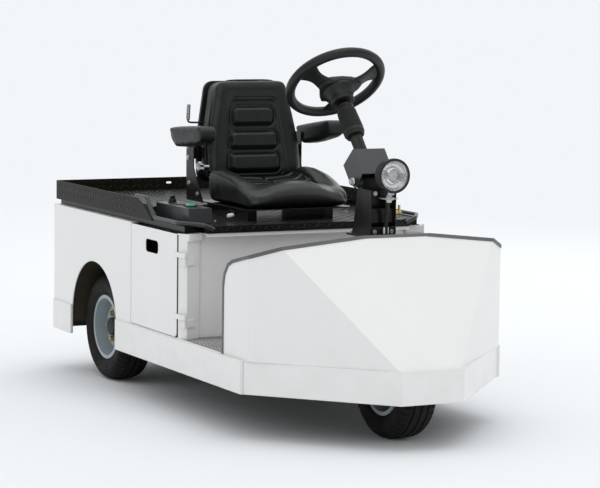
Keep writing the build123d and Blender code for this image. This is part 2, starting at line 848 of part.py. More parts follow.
def cowl_solid(inset, bottom):
    """The closed form of the cowl, with every facet moved inwards by inset."""
    with BuildPart() as solid:
        with Locations(((cowl_rear_x + front_x) / 2, 0, (bottom + 900) / 2)):
            Box(front_x - cowl_rear_x, 2 * (cowl_half - inset), 900 - bottom)
        for side in (1, -1):
            def flip(p):
                return (p[0], side * p[1], p[2])

            cuts = [
                facing(flip(crease_low), flip(crease_high), flip(nose_low), cowl_inside),
                facing(flip(cowl_shoulder), flip(cowl_crown), flip(nose_low), cowl_inside),
            ]
            for cut in cuts:
                split(bisect_by=cut.offset(-inset), keep=Keep.BOTTOM)
        nose = facing(
            (cowl_crown[0], 1, cowl_crown[2]),
            (cowl_crown[0], -1, cowl_crown[2]),
            nose_low,
            cowl_inside,
        )
        split(bisect_by=nose.offset(-inset), keep=Keep.BOTTOM)
    return solid.part


# the cowl's free edge in side view: up its rear and along its top
cowl_edge = [
    (cowl_rear_x, 553),
    (cowl_rear_x + 13, 605),
    (cowl_rear_x + 43, 642),
    (cowl_rear_x + 83, 660),
    (cowl_rear_x + 145, 674),
    (cowl_crease[0], crease_high[2]),
    (cowl_shoulder[0], cowl_shoulder[2]),
    (cowl_crown[0], cowl_crown[2]),
    (front_x, cowl_crown[2]),
]
with BuildPart() as cowl:
    add(cowl_solid(0.0, floor_top))
    add(cowl_solid(cowl_sheet, floor_top - 10), mode=Mode.SUBTRACT)
    with BuildSketch(Plane.XZ.offset(-half_width)):
        with BuildLine():
            Polyline(
                (cowl_rear_x, floor_top),
                *cowl_edge,
                (front_x, floor_top),
                close=True,
            )
        make_face()
    extrude(amount=2 * half_width, mode=Mode.INTERSECT)
write(cowl.part, "cowl")

# rubber channel pushed over the cowl's free edge
trim_line = [(cowl_rear_x, floor_top), *cowl_edge[:-1]]
trim_outside = beside(trim_line, -trim_wall)
trim_inside = beside(trim_line, trim_width)
with BuildPart() as cowl_trim:
    add(cowl_solid(-trim_wall, floor_top))
    add(cowl_solid(cowl_sheet + trim_wall, floor_top - 10), mode=Mode.SUBTRACT)
    with BuildSketch(Plane.XZ.offset(-half_width)):
        with BuildLine():
            Polyline(*trim_outside, *reversed(trim_inside), close=True)
        make_face()
    extrude(amount=2 * half_width, mode=Mode.INTERSECT)
    add(cowl.part, mode=Mode.SUBTRACT)
write(cowl_trim.part, "cowl_trim")

with BuildPart() as wheelhouse_front:
    with BuildSketch(Plane.XY.offset(floor_top)):
        with Locations((front_axle_x, 0)):
            Circle(wheel_hole_radius + wheelhouse_sheet)
    extrude(amount=wheelhouse_top + wheelhouse_sheet - floor_top)
    with BuildSketch(Plane.XY.offset(floor_top - 1)):
        with Locations((front_axle_x, 0)):
            Circle(wheel_hole_radius)
    extrude(amount=wheelhouse_top - floor_top + 1, mode=Mode.SUBTRACT)
    with Locations((front_axle_x, 0, wheelhouse_top)):
        Cylinder(head_radius - 8, 40, mode=Mode.SUBTRACT)
    add(cowl_solid(cowl_sheet, floor_top - 10), mode=Mode.INTERSECT)
write(wheelhouse_front.part, "wheelhouse_front")

# ================================================================ steering head and fork
head_bottom = wheelhouse_top + wheelhouse_sheet
with BuildPart() as steering_head:
    with BuildSketch(Plane.XY.offset(head_bottom)):
        with Locations((front_axle_x, 0)):
            Circle(head_radius)
        with Locations(((front_axle_x + tower_front_x) / 2, 0)):
            Rectangle(front_axle_x - tower_front_x, 2 * head_radius - 20)
        with Locations((front_axle_x, 0)):
            Circle(fork_stem_radius + head_fit, mode=Mode.SUBTRACT)
    extrude(amount=50)
    with BuildSketch(Plane.XY.offset(head_bottom + 50)):
        with Locations((front_axle_x, 0)):
            Circle(head_radius)
            Circle(fork_stem_radius + head_fit, mode=Mode.SUBTRACT)
    extrude(amount=head_top - head_bottom - 50)
write(steering_head.part, "steering_head")

with BuildPart() as front_fork:
    with BuildSketch(Plane.XZ.offset(-fork_half)):
        with BuildLine():
            Polyline(
                (front_axle_x - 34, tyre_radius - 34),
                (front_axle_x + 34, tyre_radius - 34),
                (front_axle_x + 48, fork_crown_z + fork_plate),
                (front_axle_x - 48, fork_crown_z + fork_plate),
                close=True,
            )
        make_face()
    extrude(amount=2 * fork_half)
    with Locations((front_axle_x, 0, (tyre_radius - 60 + fork_crown_z) / 2)):
        Box(
            200,
            2 * (fork_half - fork_plate),
            fork_crown_z - tyre_radius + 60,
            mode=Mode.SUBTRACT,
        )
    with BuildSketch(Plane.XZ.offset(-fork_half)):
        with Locations((front_axle_x, tyre_radius)):
            Circle(axle_pin_radius)
    extrude(amount=2 * fork_half, mode=Mode.SUBTRACT)
    with BuildSketch(Plane.XY.offset(fork_crown_z + fork_plate)):
        with Locations((front_axle_x, 0)):
            Circle(fork_stem_radius)
    extrude(amount=head_top - 5 - fork_crown_z - fork_plate)
write(front_fork.part, "front_fork")

with BuildPart() as front_axle:
    with BuildSketch(Plane.XZ.offset(-fork_half - 14)):
        with Locations((front_axle_x, tyre_radius)):
            Circle(axle_pin_radius)
    extrude(amount=2 * fork_half + 28)
write(front_axle.part, "front_axle")

# ================================================================ wheels
wheels = (
    # label, X, Y, side that the hub faces
    ("front", front_axle_x, 0.0, -1),
    ("rear_right", rear_axle_x, -track_half, -1),
    ("rear_left", rear_axle_x, track_half, 1),
)
half_rim = rim_width / 2
for label, x, y, side in wheels:
    wheel_plane = Plane(origin=(x, y, tyre_radius), x_dir=(0, side, 0), z_dir=(side, 0, 0))
    spin = Axis((x, y, tyre_radius), (0, 1, 0))
    half_tyre = tyre_width / 2
    with BuildPart() as tyre:
        with BuildSketch(wheel_plane):
            with BuildLine():
                Polyline(
                    (-half_rim + 7, bead_radius),
                    (-half_rim + 7, flange_radius + 4),
                    (-half_tyre + 2, flange_radius + 34),
                    (-half_tyre, tyre_radius - 42),
                    (-half_tyre + 8, tyre_radius - 18),
                    (-half_tyre + 24, tyre_radius - tyre_crown / 2),
                    (0, tyre_radius),
                    (half_tyre - 24, tyre_radius - tyre_crown / 2),
                    (half_tyre - 8, tyre_radius - 18),
                    (half_tyre, tyre_radius - 42),
                    (half_tyre - 2, flange_radius + 34),
                    (half_rim - 7, flange_radius + 4),
                    (half_rim - 7, bead_radius),
                    close=True,
                )
            make_face()
        revolve(axis=spin)
    write(tyre.part, f"{label}_tyre")
    hub_back = -hub_face if label == "front" else 0.0
    with BuildPart() as rim:
        with BuildSketch(wheel_plane):
            with BuildLine():
                Polyline(
                    (-half_rim, flange_radius),
                    (-half_rim, bead_radius - rim_sheet),
                    (-18, bead_radius - rim_sheet),
                    (-12, 104),
                    (6, 96),
                    (14, 84),
                    (14, hub_radius),
                    (hub_back, hub_radius),
                    (hub_back, axle_pin_radius + axle_fit),
                    (hub_face, axle_pin_radius + axle_fit),
                    (hub_face, hub_radius),
                    (14 + rim_sheet, hub_radius),
                    (14 + rim_sheet, 87),
                    (10, 100),
                    (0, 110),
                    (0, bead_radius - rim_sheet),
                    (half_rim, bead_radius - rim_sheet),
                    (half_rim, flange_radius),
                    (half_rim - 7, flange_radius),
                    (half_rim - 7, bead_radius),
                    (-half_rim + 7, bead_radius),
                    (-half_rim + 7, flange_radius),
                    close=True,
                )
            make_face()
        revolve(axis=spin)
    write(rim.part, f"{label}_rim")

# ================================================================ rear axle and drive
with BuildPart() as rear_axle:
    stub_end = track_half + hub_face + 6
    with BuildSketch(Plane.XZ.offset(-stub_end)):
        with Locations((rear_axle_x, tyre_radius)):
            Circle(axle_pin_radius)
    extrude(amount=2 * stub_end)
    tube_end = track_half - 4
    with BuildSketch(Plane.XZ.offset(-tube_end)):
        with Locations((rear_axle_x, tyre_radius)):
            Circle(36)
    extrude(amount=2 * tube_end)
    with Locations((rear_axle_x, 0, tyre_radius)):
        Sphere(95)
write(rear_axle.part, "rear_axle")

with BuildPart() as drive_motor:
    with BuildSketch(Plane.YZ.offset(rear_axle_x + 95)):
        with Locations((0, tyre_radius)):
            Circle(85)
    extrude(amount=250)
    fillet(drive_motor.edges().sort_by(Axis.X)[-1], radius=12)
write(drive_motor.part, "drive_motor")

spring_half = 250.0
spring_thickness = 24.0
with BuildPart() as leaf_springs:
    for y in (-rail_y, rail_y):
        with BuildSketch(Plane.XZ.offset(-y - rail_width / 2)):
            with BuildLine():
                Polyline(
                    (rear_axle_x - 60, tyre_radius + 36),
                    (rear_axle_x + 60, tyre_radius + 36),
                    (rear_axle_x + spring_half, rail_rear_z - 24),
                    (rear_axle_x + spring_half, rail_rear_z),
                    (rear_axle_x + spring_half - 30, rail_rear_z),
                    (rear_axle_x + 60, tyre_radius + 36 + spring_thickness),
                    (rear_axle_x - 60, tyre_radius + 36 + spring_thickness),
                    (rear_axle_x - spring_half + 30, rail_rear_z),
                    (rear_axle_x - spring_half, rail_rear_z),
                    (rear_axle_x - spring_half, rail_rear_z - 24),
                    close=True,
                )
            make_face()
        extrude(amount=rail_width)
write(leaf_springs.part, "leaf_springs")

battery_front_x = 130.0
battery_half = 470.0
battery_top = 650.0
with BuildPart() as battery_pack:
    with BuildSketch(Plane.XY.offset(floor_top)):
        with Locations(((floor_rear_x + 12 + battery_front_x) / 2, 0)):
            Rectangle(battery_front_x - floor_rear_x - 12, 2 * battery_half)
    extrude(amount=battery_top - floor_top)
write(battery_pack.part, "battery_pack")

# ================================================================ doors
for label, side in (("door_right", -1), ("door_left", 1)):
    with BuildPart() as door:
        with BuildSketch(Plane.XZ.offset(side_y - door_sheet)) as outline:
            with Locations(((door_rear_x + door_front_x) / 2, (door_top + door_bottom) / 2)):
                Rectangle(door_front_x - door_rear_x, door_top - door_bottom)
            corner = outline.vertices().sort_by(Axis.X)[-2:].sort_by(Axis.Z)[-1]
            fillet(corner, radius=door_corner)
            with Locations((hand_x, hand_z)):
                RectangleRounded(hand_length, hand_height, hand_corner, mode=Mode.SUBTRACT)
        extrude(amount=door_sheet)
        for z in hinge_heights:
            with BuildSketch(Plane.XY.offset(z - leaf_height / 2)):
                with BuildLine():
                    Polyline(
                        (door_front_x - leaf_overlap, -side_y),
                        (door_front_x - leaf_overlap, -side_y - 1 - leaf_sheet),
                        (hinge_x - 16, -side_y - 1 - leaf_sheet),
                        (hinge_x - 2, -hinge_y - knuckle_radius + 0.5),
                        (hinge_x - 2, -hinge_y - knuckle_radius + leaf_sheet + 0.5),
                        (hinge_x - 17, -side_y - 1),
                        (door_front_x, -side_y - 1),
                        (door_front_x, -side_y),
                        close=True,
                    )
                make_face()
                with Locations((hinge_x, -hinge_y)):
                    Circle(knuckle_radius)
                    Circle(hinge_pin_radius + hinge_fit, mode=Mode.SUBTRACT)
            extrude(amount=leaf_height)
    shape = door.part if side < 0 else mirrored(door.part)
    write(shape, label)
    nose = Vector(post_nose[0], post_nose[1] - side_y)
    narrow = (nose - Vector(post_x, -side_y)).normalized()
    wide = (Vector(post_inner[0], post_inner[1] - side_y) - nose).normalized()
    strap_points = (nose - narrow * strap_reach, nose, nose + wide * strap_wide)
    strap = [(point.X, point.Y) for point in strap_points]
    with BuildPart() as hinge:
        for z in hinge_heights:
            with BuildSketch(Plane.XY.offset(z - leaf_height / 2 - 1 - block_height)):
                with Locations((hinge_x, -hinge_y)):
                    Circle(knuckle_radius)
                with BuildLine():
                    Polyline(*strap, *reversed(beside(strap, strap_sheet)), close=True)
                make_face()
            extrude(amount=block_height)
            with BuildSketch(Plane.XY.offset(z - leaf_height / 2 - 2)):
                with Locations((hinge_x, -hinge_y)):
                    Circle(hinge_pin_radius)
            extrude(amount=leaf_height + 6)
    shape = hinge.part if side < 0 else mirrored(hinge.part)
    write(shape, label.replace("door", "hinges"))

# ================================================================ tow hitch
hitch_x = -1245.0
ear_thickness = 16.0
ear_gap = 54.0
hitch_z = (band_bottom + band_top) / 2
pin_hole = 13.5
ear_width = 90.0
ear_nose = 32.0
hitch_plate = 12.0
with BuildPart() as tow_hitch:
    with BuildSketch(Plane.YZ.offset(rear_x)):
        with Locations((0, hitch_z)):
            RectangleRounded(170, band_top - band_bottom - 8, 10)
    extrude(amount=-hitch_plate)
    for z in (hitch_z - ear_gap / 2 - ear_thickness, hitch_z + ear_gap / 2):
        with BuildSketch(Plane.XY.offset(z)):
            with Locations((hitch_x + ear_nose, 0)):
                Circle(ear_nose)
            with BuildLine():
                Polyline(
                    (hitch_x + ear_nose, -ear_nose),
                    (rear_x - hitch_plate, -ear_width / 2),
                    (rear_x - hitch_plate, ear_width / 2),
                    (hitch_x + ear_nose, ear_nose),
                    close=True,
                )
            make_face()
            with Locations((rear_x - hitch_plate + 25, 0)):
                Rectangle(50, 2 * ear_width, mode=Mode.SUBTRACT)
            with Locations((hitch_x + ear_nose, 0)):
                Circle(pin_hole, mode=Mode.SUBTRACT)
        extrude(amount=ear_thickness)
write(tow_hitch.part, "tow_hitch")

# ================================================================ steering tower and column
lug_half = tower_half - 8
with BuildPart() as steering_tower:
    # folded post from the front wheelhouse up to the shelf
    with BuildSketch(Plane.XY.offset(head_bottom)):
        with Locations(((tower_post_rear + tower_front_x) / 2, 0)):
            Rectangle(tower_front_x - tower_post_rear, 2 * tower_half)
            Rectangle(
                tower_front_x - tower_post_rear - 2 * tower_sheet,
                2 * (tower_half - tower_sheet),
                mode=Mode.SUBTRACT,
            )
    extrude(amount=shelf_z - head_bottom)
    with BuildSketch(Plane.XY.offset(shelf_z)):
        with Locations(((shelf_rear_x + shelf_front_x) / 2, 0)):
            Rectangle(shelf_front_x - shelf_rear_x, 2 * shelf_half)
    extrude(amount=shelf_sheet)
    # channel, open to the front, that stands on the shelf
    with BuildSketch(Plane.XY.offset(shelf_z + shelf_sheet)):
        with Locations(((tower_rear_x + tower_front_x) / 2, 0)):
            Rectangle(tower_front_x - tower_rear_x, 2 * tower_half)
        with Locations(((tower_rear_x + tower_front_x) / 2 + tower_sheet, 0)):
            Rectangle(
                tower_front_x - tower_rear_x,
                2 * (tower_half - tower_sheet),
                mode=Mode.SUBTRACT,
            )
    extrude(amount=tower_top - shelf_z - shelf_sheet)
    # plates across the channel's open front, with gaps between them
    for bottom, top, set_back in (
        (shelf_z + shelf_sheet, shelf_z + 44, 0.0),
        (shelf_z + 58, shelf_z + 112, 14.0),
        (tower_top - 26, tower_top, 0.0),
    ):
        with Locations(
            (tower_front_x - set_back - tower_sheet / 2, 0, (bottom + top) / 2)
        ):
            Box(tower_sheet, 2 * (tower_half - tower_sheet), top - bottom)
    # curved lug at the rear that carries the column's pivot
    with BuildSketch(Plane.XZ.offset(-lug_half)):
        with BuildLine():
            lug_low = (tower_rear_x - 87, shelf_z + shelf_sheet)
            lug_high = (pivot_x - 20, pivot_z - 6)
            lug_middle = ((lug_low[0] + lug_high[0]) / 2 + lug_bow, (lug_low[1] + lug_high[1]) / 2)
            ThreePointArc(lug_low, lug_middle, lug_high)
            Polyline(
                lug_high,
                (pivot_x - 12, pivot_z + 17),
                (pivot_x + 12, pivot_z + 17),
                (tower_rear_x, tower_top + 5),
                (tower_rear_x, shelf_z + shelf_sheet),
                lug_low,
            )
        make_face()
        with Locations((pivot_x, pivot_z)):
            Circle(pivot_radius + 0.1, mode=Mode.SUBTRACT)
    extrude(amount=2 * lug_half)
write(steering_tower.part, "steering_tower")

base = Vector(column_base[0], 0, column_base[1])
box_plane = Plane(origin=base, x_dir=column_across, z_dir=column_up)
side_plane = Plane(origin=base, x_dir=column_across, z_dir=(0, -1, 0))
with BuildPart() as column_bracket:
    with BuildSketch(box_plane):
        with Locations((bracket_shift, 0)):
            Rectangle(bracket_depth, 2 * bracket_half)
        Circle(column_radius + 0.3, mode=Mode.SUBTRACT)
    extrude(amount=-bracket_sheet)
    # front wall, the whole length of the bracket, and the shorter rear wall
    for across, length in (
        (bracket_shift + bracket_depth / 2 - bracket_sheet / 2, bracket_length),
        (bracket_shift - bracket_depth / 2 + bracket_sheet / 2, bracket_length - 40),
    ):
        with BuildSketch(box_plane):
            with Locations((across, 0)):
                Rectangle(bracket_sheet, 2 * bracket_half)
        extrude(amount=-length)
    # side plates that reach down to the pivot
    for y in (bracket_half - bracket_sheet, -bracket_half):
        with BuildSketch(side_plane.offset(y)):
            with BuildLine():
                Polyline(
                    (bracket_shift - bracket_depth / 2, 0),
                    (bracket_shift + bracket_depth / 2, 0),
                    (bracket_shift + bracket_depth / 2, -bracket_length),
                    (pivot_across + 22, -pivot_drop - 18),
                    (pivot_across - 18, -pivot_drop - 18),
                    (bracket_shift - bracket_depth / 2, -bracket_length + 38),
                    close=True,
                )
            make_face()
        extrude(amount=bracket_sheet)
    # pivot pin through both side plates
    with BuildSketch(side_plane.offset(-bracket_half)):
        with Locations((pivot_across, -pivot_drop)):
            Circle(pivot_radius)
    extrude(amount=2 * bracket_half)
    with BuildSketch(side_plane.offset(lug_half)):
        with Locations((pivot_across, -pivot_drop)):
            Circle(knuckle_disc)
    extrude(amount=bracket_half - lug_half)
    with BuildSketch(side_plane.offset(-bracket_half)):
        with Locations((pivot_across, -pivot_drop)):
            Circle(knuckle_disc)
    extrude(amount=bracket_half - lug_half)
    # nut and washer outside each plate
    for y in (bracket_half, -bracket_half - nut_depth):
        with BuildSketch(side_plane.offset(y)):
            with Locations((pivot_across, -pivot_drop)):
                RegularPolygon(nut_radius, 6)
        extrude(amount=nut_depth)
write(column_bracket.part, "column_bracket")

with BuildPart() as column_tube:
    with BuildSketch(box_plane.offset(-70)):
        Circle(column_radius)
    extrude(amount=70 + column_length + hub_foot - 6)
    with BuildSketch(box_plane.offset(boot_end)):
        Circle(ring_radius)
    extrude(amount=ring_length)
    with BuildSketch(box_plane.offset(column_length + hub_foot - 6)):
        Circle(column_shaft)
    extrude(amount=6 - hub_foot - shaft_end - 4)
write(column_tube.part, "column_tube")

with BuildPart() as column_boot:
    with BuildSketch(side_plane):
        with BuildLine():
            Polyline(
                (column_radius, boot_start),
                (boot_foot, boot_start),
                (boot_foot, boot_start + boot_collar),
                (boot_foot - 2, boot_start + boot_collar + 2),
                (boot_foot + 2, boot_start + boot_collar + 12),
                (boot_head + 3, boot_end - boot_collar - 10),
                (boot_head, boot_end - boot_collar),
                (boot_head - 2, boot_end),
                (column_radius, boot_end),
                close=True,
            )
        make_face()
    revolve(axis=Axis(base, column_up))
write(column_boot.part, "column_boot")

rim_plane = box_plane.offset(column_length)
hub_hole = column_shaft + 0.4
with BuildPart() as steering_wheel:
    wheel_section = Plane(origin=rim_plane.origin, x_dir=column_across, z_dir=(0, -1, 0))
    # spokes at the sides and at the bottom, deep at the hub and flat at the rim
    for angle, breadth in (
        (spoke_angle, spoke_breadth),
        (-spoke_angle, spoke_breadth),
        (180, 40),
    ):
        along = Vector(*column_across).rotate(Axis((0, 0, 0), column_up), angle)
        spoke = Plane(
            origin=rim_plane.origin, x_dir=along, z_dir=along.cross(Vector(*column_up))
        )
        with BuildSketch(spoke.offset(-breadth / 2)):
            with BuildLine():
                Polyline(
                    (pad_radius - 20, pad_back - 6),
                    (wheel_radius - 2, -12),
                    (wheel_radius - 2, 8),
                    (pad_radius + 30, -16),
                    (pad_radius - 20, pad_face),
                    close=True,
                )
            make_face()
        extrude(amount=breadth)
    # centre pad, wider than it is high, with a bowed top edge
    with BuildSketch(Plane(origin=rim_plane.origin, x_dir=(0, 1, 0), z_dir=column_up).offset(pad_face)):
        with BuildLine():
            ThreePointArc((-pad_radius, pad_rise), (0, pad_crown), (pad_radius, pad_rise))
            Polyline(
                (pad_radius, pad_rise),
                (pad_radius - 22, -pad_drop),
                (22 - pad_radius, -pad_drop),
                (-pad_radius, pad_rise),
            )
        make_face()
    extrude(amount=pad_back - pad_face, taper=16)
    # hub cone and the collar at its foot
    with BuildSketch(wheel_section):
        with BuildLine():
            Polyline(
                (0, pad_back + 6),
                (58, pad_back + 6),
                (42, hub_foot + 24),
                (46, hub_foot + 20),
                (44, hub_foot),
                (0, hub_foot),
                close=True,
            )
        make_face()
    revolve(axis=Axis(rim_plane.origin, column_up))
    with BuildSketch(box_plane.offset(column_length + hub_foot)):
        Circle(hub_hole)
    extrude(amount=-shaft_end - hub_foot, mode=Mode.SUBTRACT)
    with BuildSketch(wheel_section):
        with Locations((wheel_radius, 0)):
            Circle(wheel_bar)
    revolve(axis=Axis(rim_plane.origin, column_up))
write(steering_wheel.part, "steering_wheel")

# ================================================================ pedals
with BuildPart() as pedals:
    # floor plate that carries both pedal arms
    with Locations((pedal_x + 40, (pedal_right_y + pedal_brake_y) / 2, floor_top + 4)):
        Box(70, abs(pedal_right_y - pedal_brake_y) + pedal_width, 8)
    for y, height in ((pedal_right_y, 86.0), (pedal_brake_y, 104.0)):
        foot = (pedal_x + 55, floor_top + 6)
        head = (pedal_x + 10, floor_top + height - 20)
        with BuildSketch(Plane.XZ.offset(-y - 7)):
            with BuildLine():
                Polyline(
                    foot,
                    (foot[0] + 12, foot[1]),
                    (head[0] + 12, head[1] + 6),
                    (head[0] - 2, head[1]),
                    close=True,
                )
            make_face()
        extrude(amount=14)
        pad = Plane(origin=(head[0], y, head[1]), x_dir=(0, 1, 0), z_dir=(-0.75, 0, 0.66))
        with BuildSketch(pad):
            RectangleRounded(pedal_width, pedal_length, 8)
        extrude(amount=9)
write(pedals.part, "pedals")

# ================================================================ headlamp
with BuildPart() as headlamp:
    with BuildSketch(Plane.YZ.offset(lamp_x - lamp_depth)):
        with Locations((0, lamp_z)):
            Circle(lamp_radius)
    extrude(amount=lamp_depth)
    chamfer(headlamp.edges().filter_by(GeomType.CIRCLE).sort_by(Axis.X)[0], length=16)
    with BuildSketch(Plane.YZ.offset(lamp_x)):
        with Locations((0, lamp_z)):
            Circle(lamp_radius - 6)
    extrude(amount=-8, mode=Mode.SUBTRACT)
    # stem down to the tower's front
    with Locations((870, 0, 900)):
        Box(54, 30, 60)
write(headlamp.part, "headlamp")
with BuildPart() as headlamp_lens:
    with BuildSketch(Plane.YZ.offset(lamp_x - 8)):
        with Locations((0, lamp_z)):
            Circle(lamp_radius - 6)
    extrude(amount=6)
write(headlamp_lens.part, "headlamp_lens")
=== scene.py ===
# %% [markdown]
# # Dressing an electric baggage tug
# The tug arrives as exact CAD solids: sheet steel, frame, wheels, seat and steering.
# This lesson gives every one of them its finish, and adds what CAD leaves plain:
# tread plate, sewn vinyl, tyre tread, the lamp's optics, knobs, nuts and grips.
# Everything is in metres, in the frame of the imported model: +X forward, +Y left, +Z up.

from math import cos, exp, hypot, pi, radians, sin

import bmesh
import bpy
from mathutils import Matrix, Vector
from mathutils.bvhtree import BVHTree


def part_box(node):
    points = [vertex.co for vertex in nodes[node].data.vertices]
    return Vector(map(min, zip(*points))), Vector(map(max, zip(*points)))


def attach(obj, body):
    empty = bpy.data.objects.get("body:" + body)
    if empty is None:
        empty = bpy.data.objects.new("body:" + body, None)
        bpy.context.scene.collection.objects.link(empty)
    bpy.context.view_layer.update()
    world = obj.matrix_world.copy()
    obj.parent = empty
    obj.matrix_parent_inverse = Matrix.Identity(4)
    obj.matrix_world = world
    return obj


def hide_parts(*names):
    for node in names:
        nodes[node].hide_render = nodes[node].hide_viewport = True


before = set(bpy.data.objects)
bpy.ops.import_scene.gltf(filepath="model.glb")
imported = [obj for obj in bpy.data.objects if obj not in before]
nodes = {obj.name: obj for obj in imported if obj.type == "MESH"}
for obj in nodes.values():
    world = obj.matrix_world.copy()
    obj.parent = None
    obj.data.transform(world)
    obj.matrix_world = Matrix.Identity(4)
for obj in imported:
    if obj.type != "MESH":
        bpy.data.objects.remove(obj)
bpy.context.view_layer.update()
scene = bpy.context.scene

# %% [markdown]
# ## The camera
# A long lens keeps the flanks of the tug almost parallel, so the facets of the cowl
# read as flat planes. The camera stands ahead of the tug's right side, a little above
# the bonnet. Its axes are worked out from a heading, a pitch and a small roll.

# %% Place the camera
CAMERA_PLACE = (9.18557, -4.52111, 1.73518)
heading, pitch, roll = 2.677956, 0.1069645, 0.0121336
look = Vector((cos(pitch) * cos(heading), cos(pitch) * sin(heading), -sin(pitch)))
level = Vector((sin(heading), -cos(heading), 0.0))
rise = level.cross(look)
camera_right = level * cos(roll) + rise * sin(roll)
camera_up = rise * cos(roll) - level * sin(roll)
camera_data = bpy.data.cameras.new("tug_camera")
camera_data.lens = 151.794
camera_data.sensor_width = 36.0
camera_data.clip_end = 2000.0
camera = bpy.data.objects.new("tug_camera", camera_data)
axes = Matrix((camera_right, camera_up, -look)).transposed().to_4x4()
camera.matrix_world = Matrix.Translation(CAMERA_PLACE) @ axes
scene.collection.objects.link(camera)
scene.camera = camera
print("lens:", camera_data.lens, "mm")

# %% [markdown]
# ## Floor, sky and lamps
# The tug stands in a pale studio with no visible corner. A very large floor reaches
# past the top of the picture, and the sky is the same pale blue-grey to the camera.
# The light itself is a sky that is bright overhead and behind the tug, and dim along
# the horizon in front of it. Black paint then stays black, tops and rims shine, and
# the shadow stays under the body. A weak wide sun adds to it, three low fills as wide as
# a wall lift the upright sheets, and a panel behind draws the seat's highlights. The
# two fills at the sides light matt colour only, so no black sheet mirrors them.

# %% Build the studio
scene.view_settings.view_transform = "Standard"
PALE = (0.879, 0.905, 0.922)
TOWARDS_BACK = (-0.87, 0.49, 0.0)
DIM_FRONT, BRIGHT_BACK, ZENITH = 0.11, 0.66, 1.12
FILLS = (("front_fill", 0.30, -28), ("side_fill", 0.18, -115), ("left_fill", 0.14, 38))
FILL_REACH, FILL_HEIGHT = 9.0, 3.3


def studio_sky():
    """A sky, brighter overhead, whose seen colour differs from the light that it gives."""
    world = bpy.data.worlds.new("studio_sky")
    scene.world = world
    world.use_nodes = True
    tree = world.node_tree
    tree.nodes.clear()
    seen = tree.nodes.new("ShaderNodeBackground")
    seen.inputs["Color"].default_value = (*PALE, 1.0)
    light = tree.nodes.new("ShaderNodeBackground")
    light.inputs["Color"].default_value = (0.97, 0.985, 1.0, 1.0)
    aim = tree.nodes.new("ShaderNodeTexCoord").outputs["Generated"]
    split = tree.nodes.new("ShaderNodeSeparateXYZ")
    tree.links.new(aim, split.inputs[0])
    behind = tree.nodes.new("ShaderNodeVectorMath")
    behind.operation = "DOT_PRODUCT"
    behind.inputs[1].default_value = TOWARDS_BACK
    tree.links.new(aim, behind.inputs[0])
    horizon = tree.nodes.new("ShaderNodeMapRange")
    for i, number in enumerate((-0.3, 0.8, DIM_FRONT, BRIGHT_BACK), 1):
        horizon.inputs[i].default_value = number
    tree.links.new(behind.outputs["Value"], horizon.inputs[0])
    climb = tree.nodes.new("ShaderNodeMapRange")
    climb.inputs[2].default_value = 0.8
    climb.inputs[4].default_value = ZENITH
    tree.links.new(split.outputs["Z"], climb.inputs[0])
    tree.links.new(horizon.outputs[0], climb.inputs[3])
    tree.links.new(climb.outputs[0], light.inputs["Strength"])
    path = tree.nodes.new("ShaderNodeLightPath")
    either = tree.nodes.new("ShaderNodeMath")
    either.operation = "MAXIMUM"
    tree.links.new(path.outputs["Is Camera Ray"], either.inputs[0])
    tree.links.new(path.outputs["Is Transmission Ray"], either.inputs[1])
    mix = tree.nodes.new("ShaderNodeMixShader")
    tree.links.new(either.outputs[0], mix.inputs[0])
    tree.links.new(light.outputs[0], mix.inputs[1])
    tree.links.new(seen.outputs[0], mix.inputs[2])
    out = tree.nodes.new("ShaderNodeOutputWorld")
    tree.links.new(mix.outputs[0], out.inputs["Surface"])


def lamp(name, kind, energy, position, target, size=None, angle=None):
    """A soft lamp that looks at a point."""
    data = bpy.data.lights.new(name, kind)
    data.energy = energy
    if size:
        data.shape = "RECTANGLE"
        data.size, data.size_y = size
    if angle:
        data.angle = radians(angle)
    obj = bpy.data.objects.new(name, data)
    obj.location = position
    obj.rotation_euler = (Vector(target) - Vector(position)).to_track_quat("-Z", "Y").to_euler()
    scene.collection.objects.link(obj)
    return obj


studio_sky()
lamp("overhead_sun", "SUN", 0.36, (0.8, 1.6, 9.2), (0, 0, 0), angle=34)
for name, energy, degrees in FILLS:
    bearing = radians(degrees)
    spot = (FILL_REACH * cos(bearing), FILL_REACH * sin(bearing), FILL_HEIGHT)
    fill = lamp(name, "SUN", energy, spot, (0, 0, 0), angle=50)
    fill.visible_glossy = name == "front_fill"
lamp("rear_panel", "AREA", 40, (-3.5, 4.5, 4.0), (0, 0, 0.9), size=(5.0, 2.0))

floor_bm = bmesh.new()
bmesh.ops.create_grid(floor_bm, x_segments=1, y_segments=1, size=600.0)
floor_mesh = bpy.data.meshes.new("studio_floor")
floor_bm.to_mesh(floor_mesh)
floor_bm.free()
studio_floor = bpy.data.objects.new("studio_floor", floor_mesh)
scene.collection.objects.link(studio_floor)
floor_finish = bpy.data.materials.new("studio_floor")
floor_finish.use_nodes = True
floor_shader = floor_finish.node_tree.nodes["Principled BSDF"]
floor_shader.inputs["Base Color"].default_value = (0.805, 0.823, 0.834, 1.0)
floor_shader.inputs["Roughness"].default_value = 0.9
floor_shader.inputs["Specular IOR Level"].default_value = 0.0
floor_mesh.materials.append(floor_finish)
print("studio ready")

# %% [markdown]
# ## Making finishes
# Real finishes are never one flat value. Each material below starts from a
# Principled shader and gets small changes of colour, of gloss and of relief, all
# read from Object coordinates, which are metres on the tug. A Bevel node rounds the
# sharp sheet-metal edges in shading, so they catch a thin line of light.

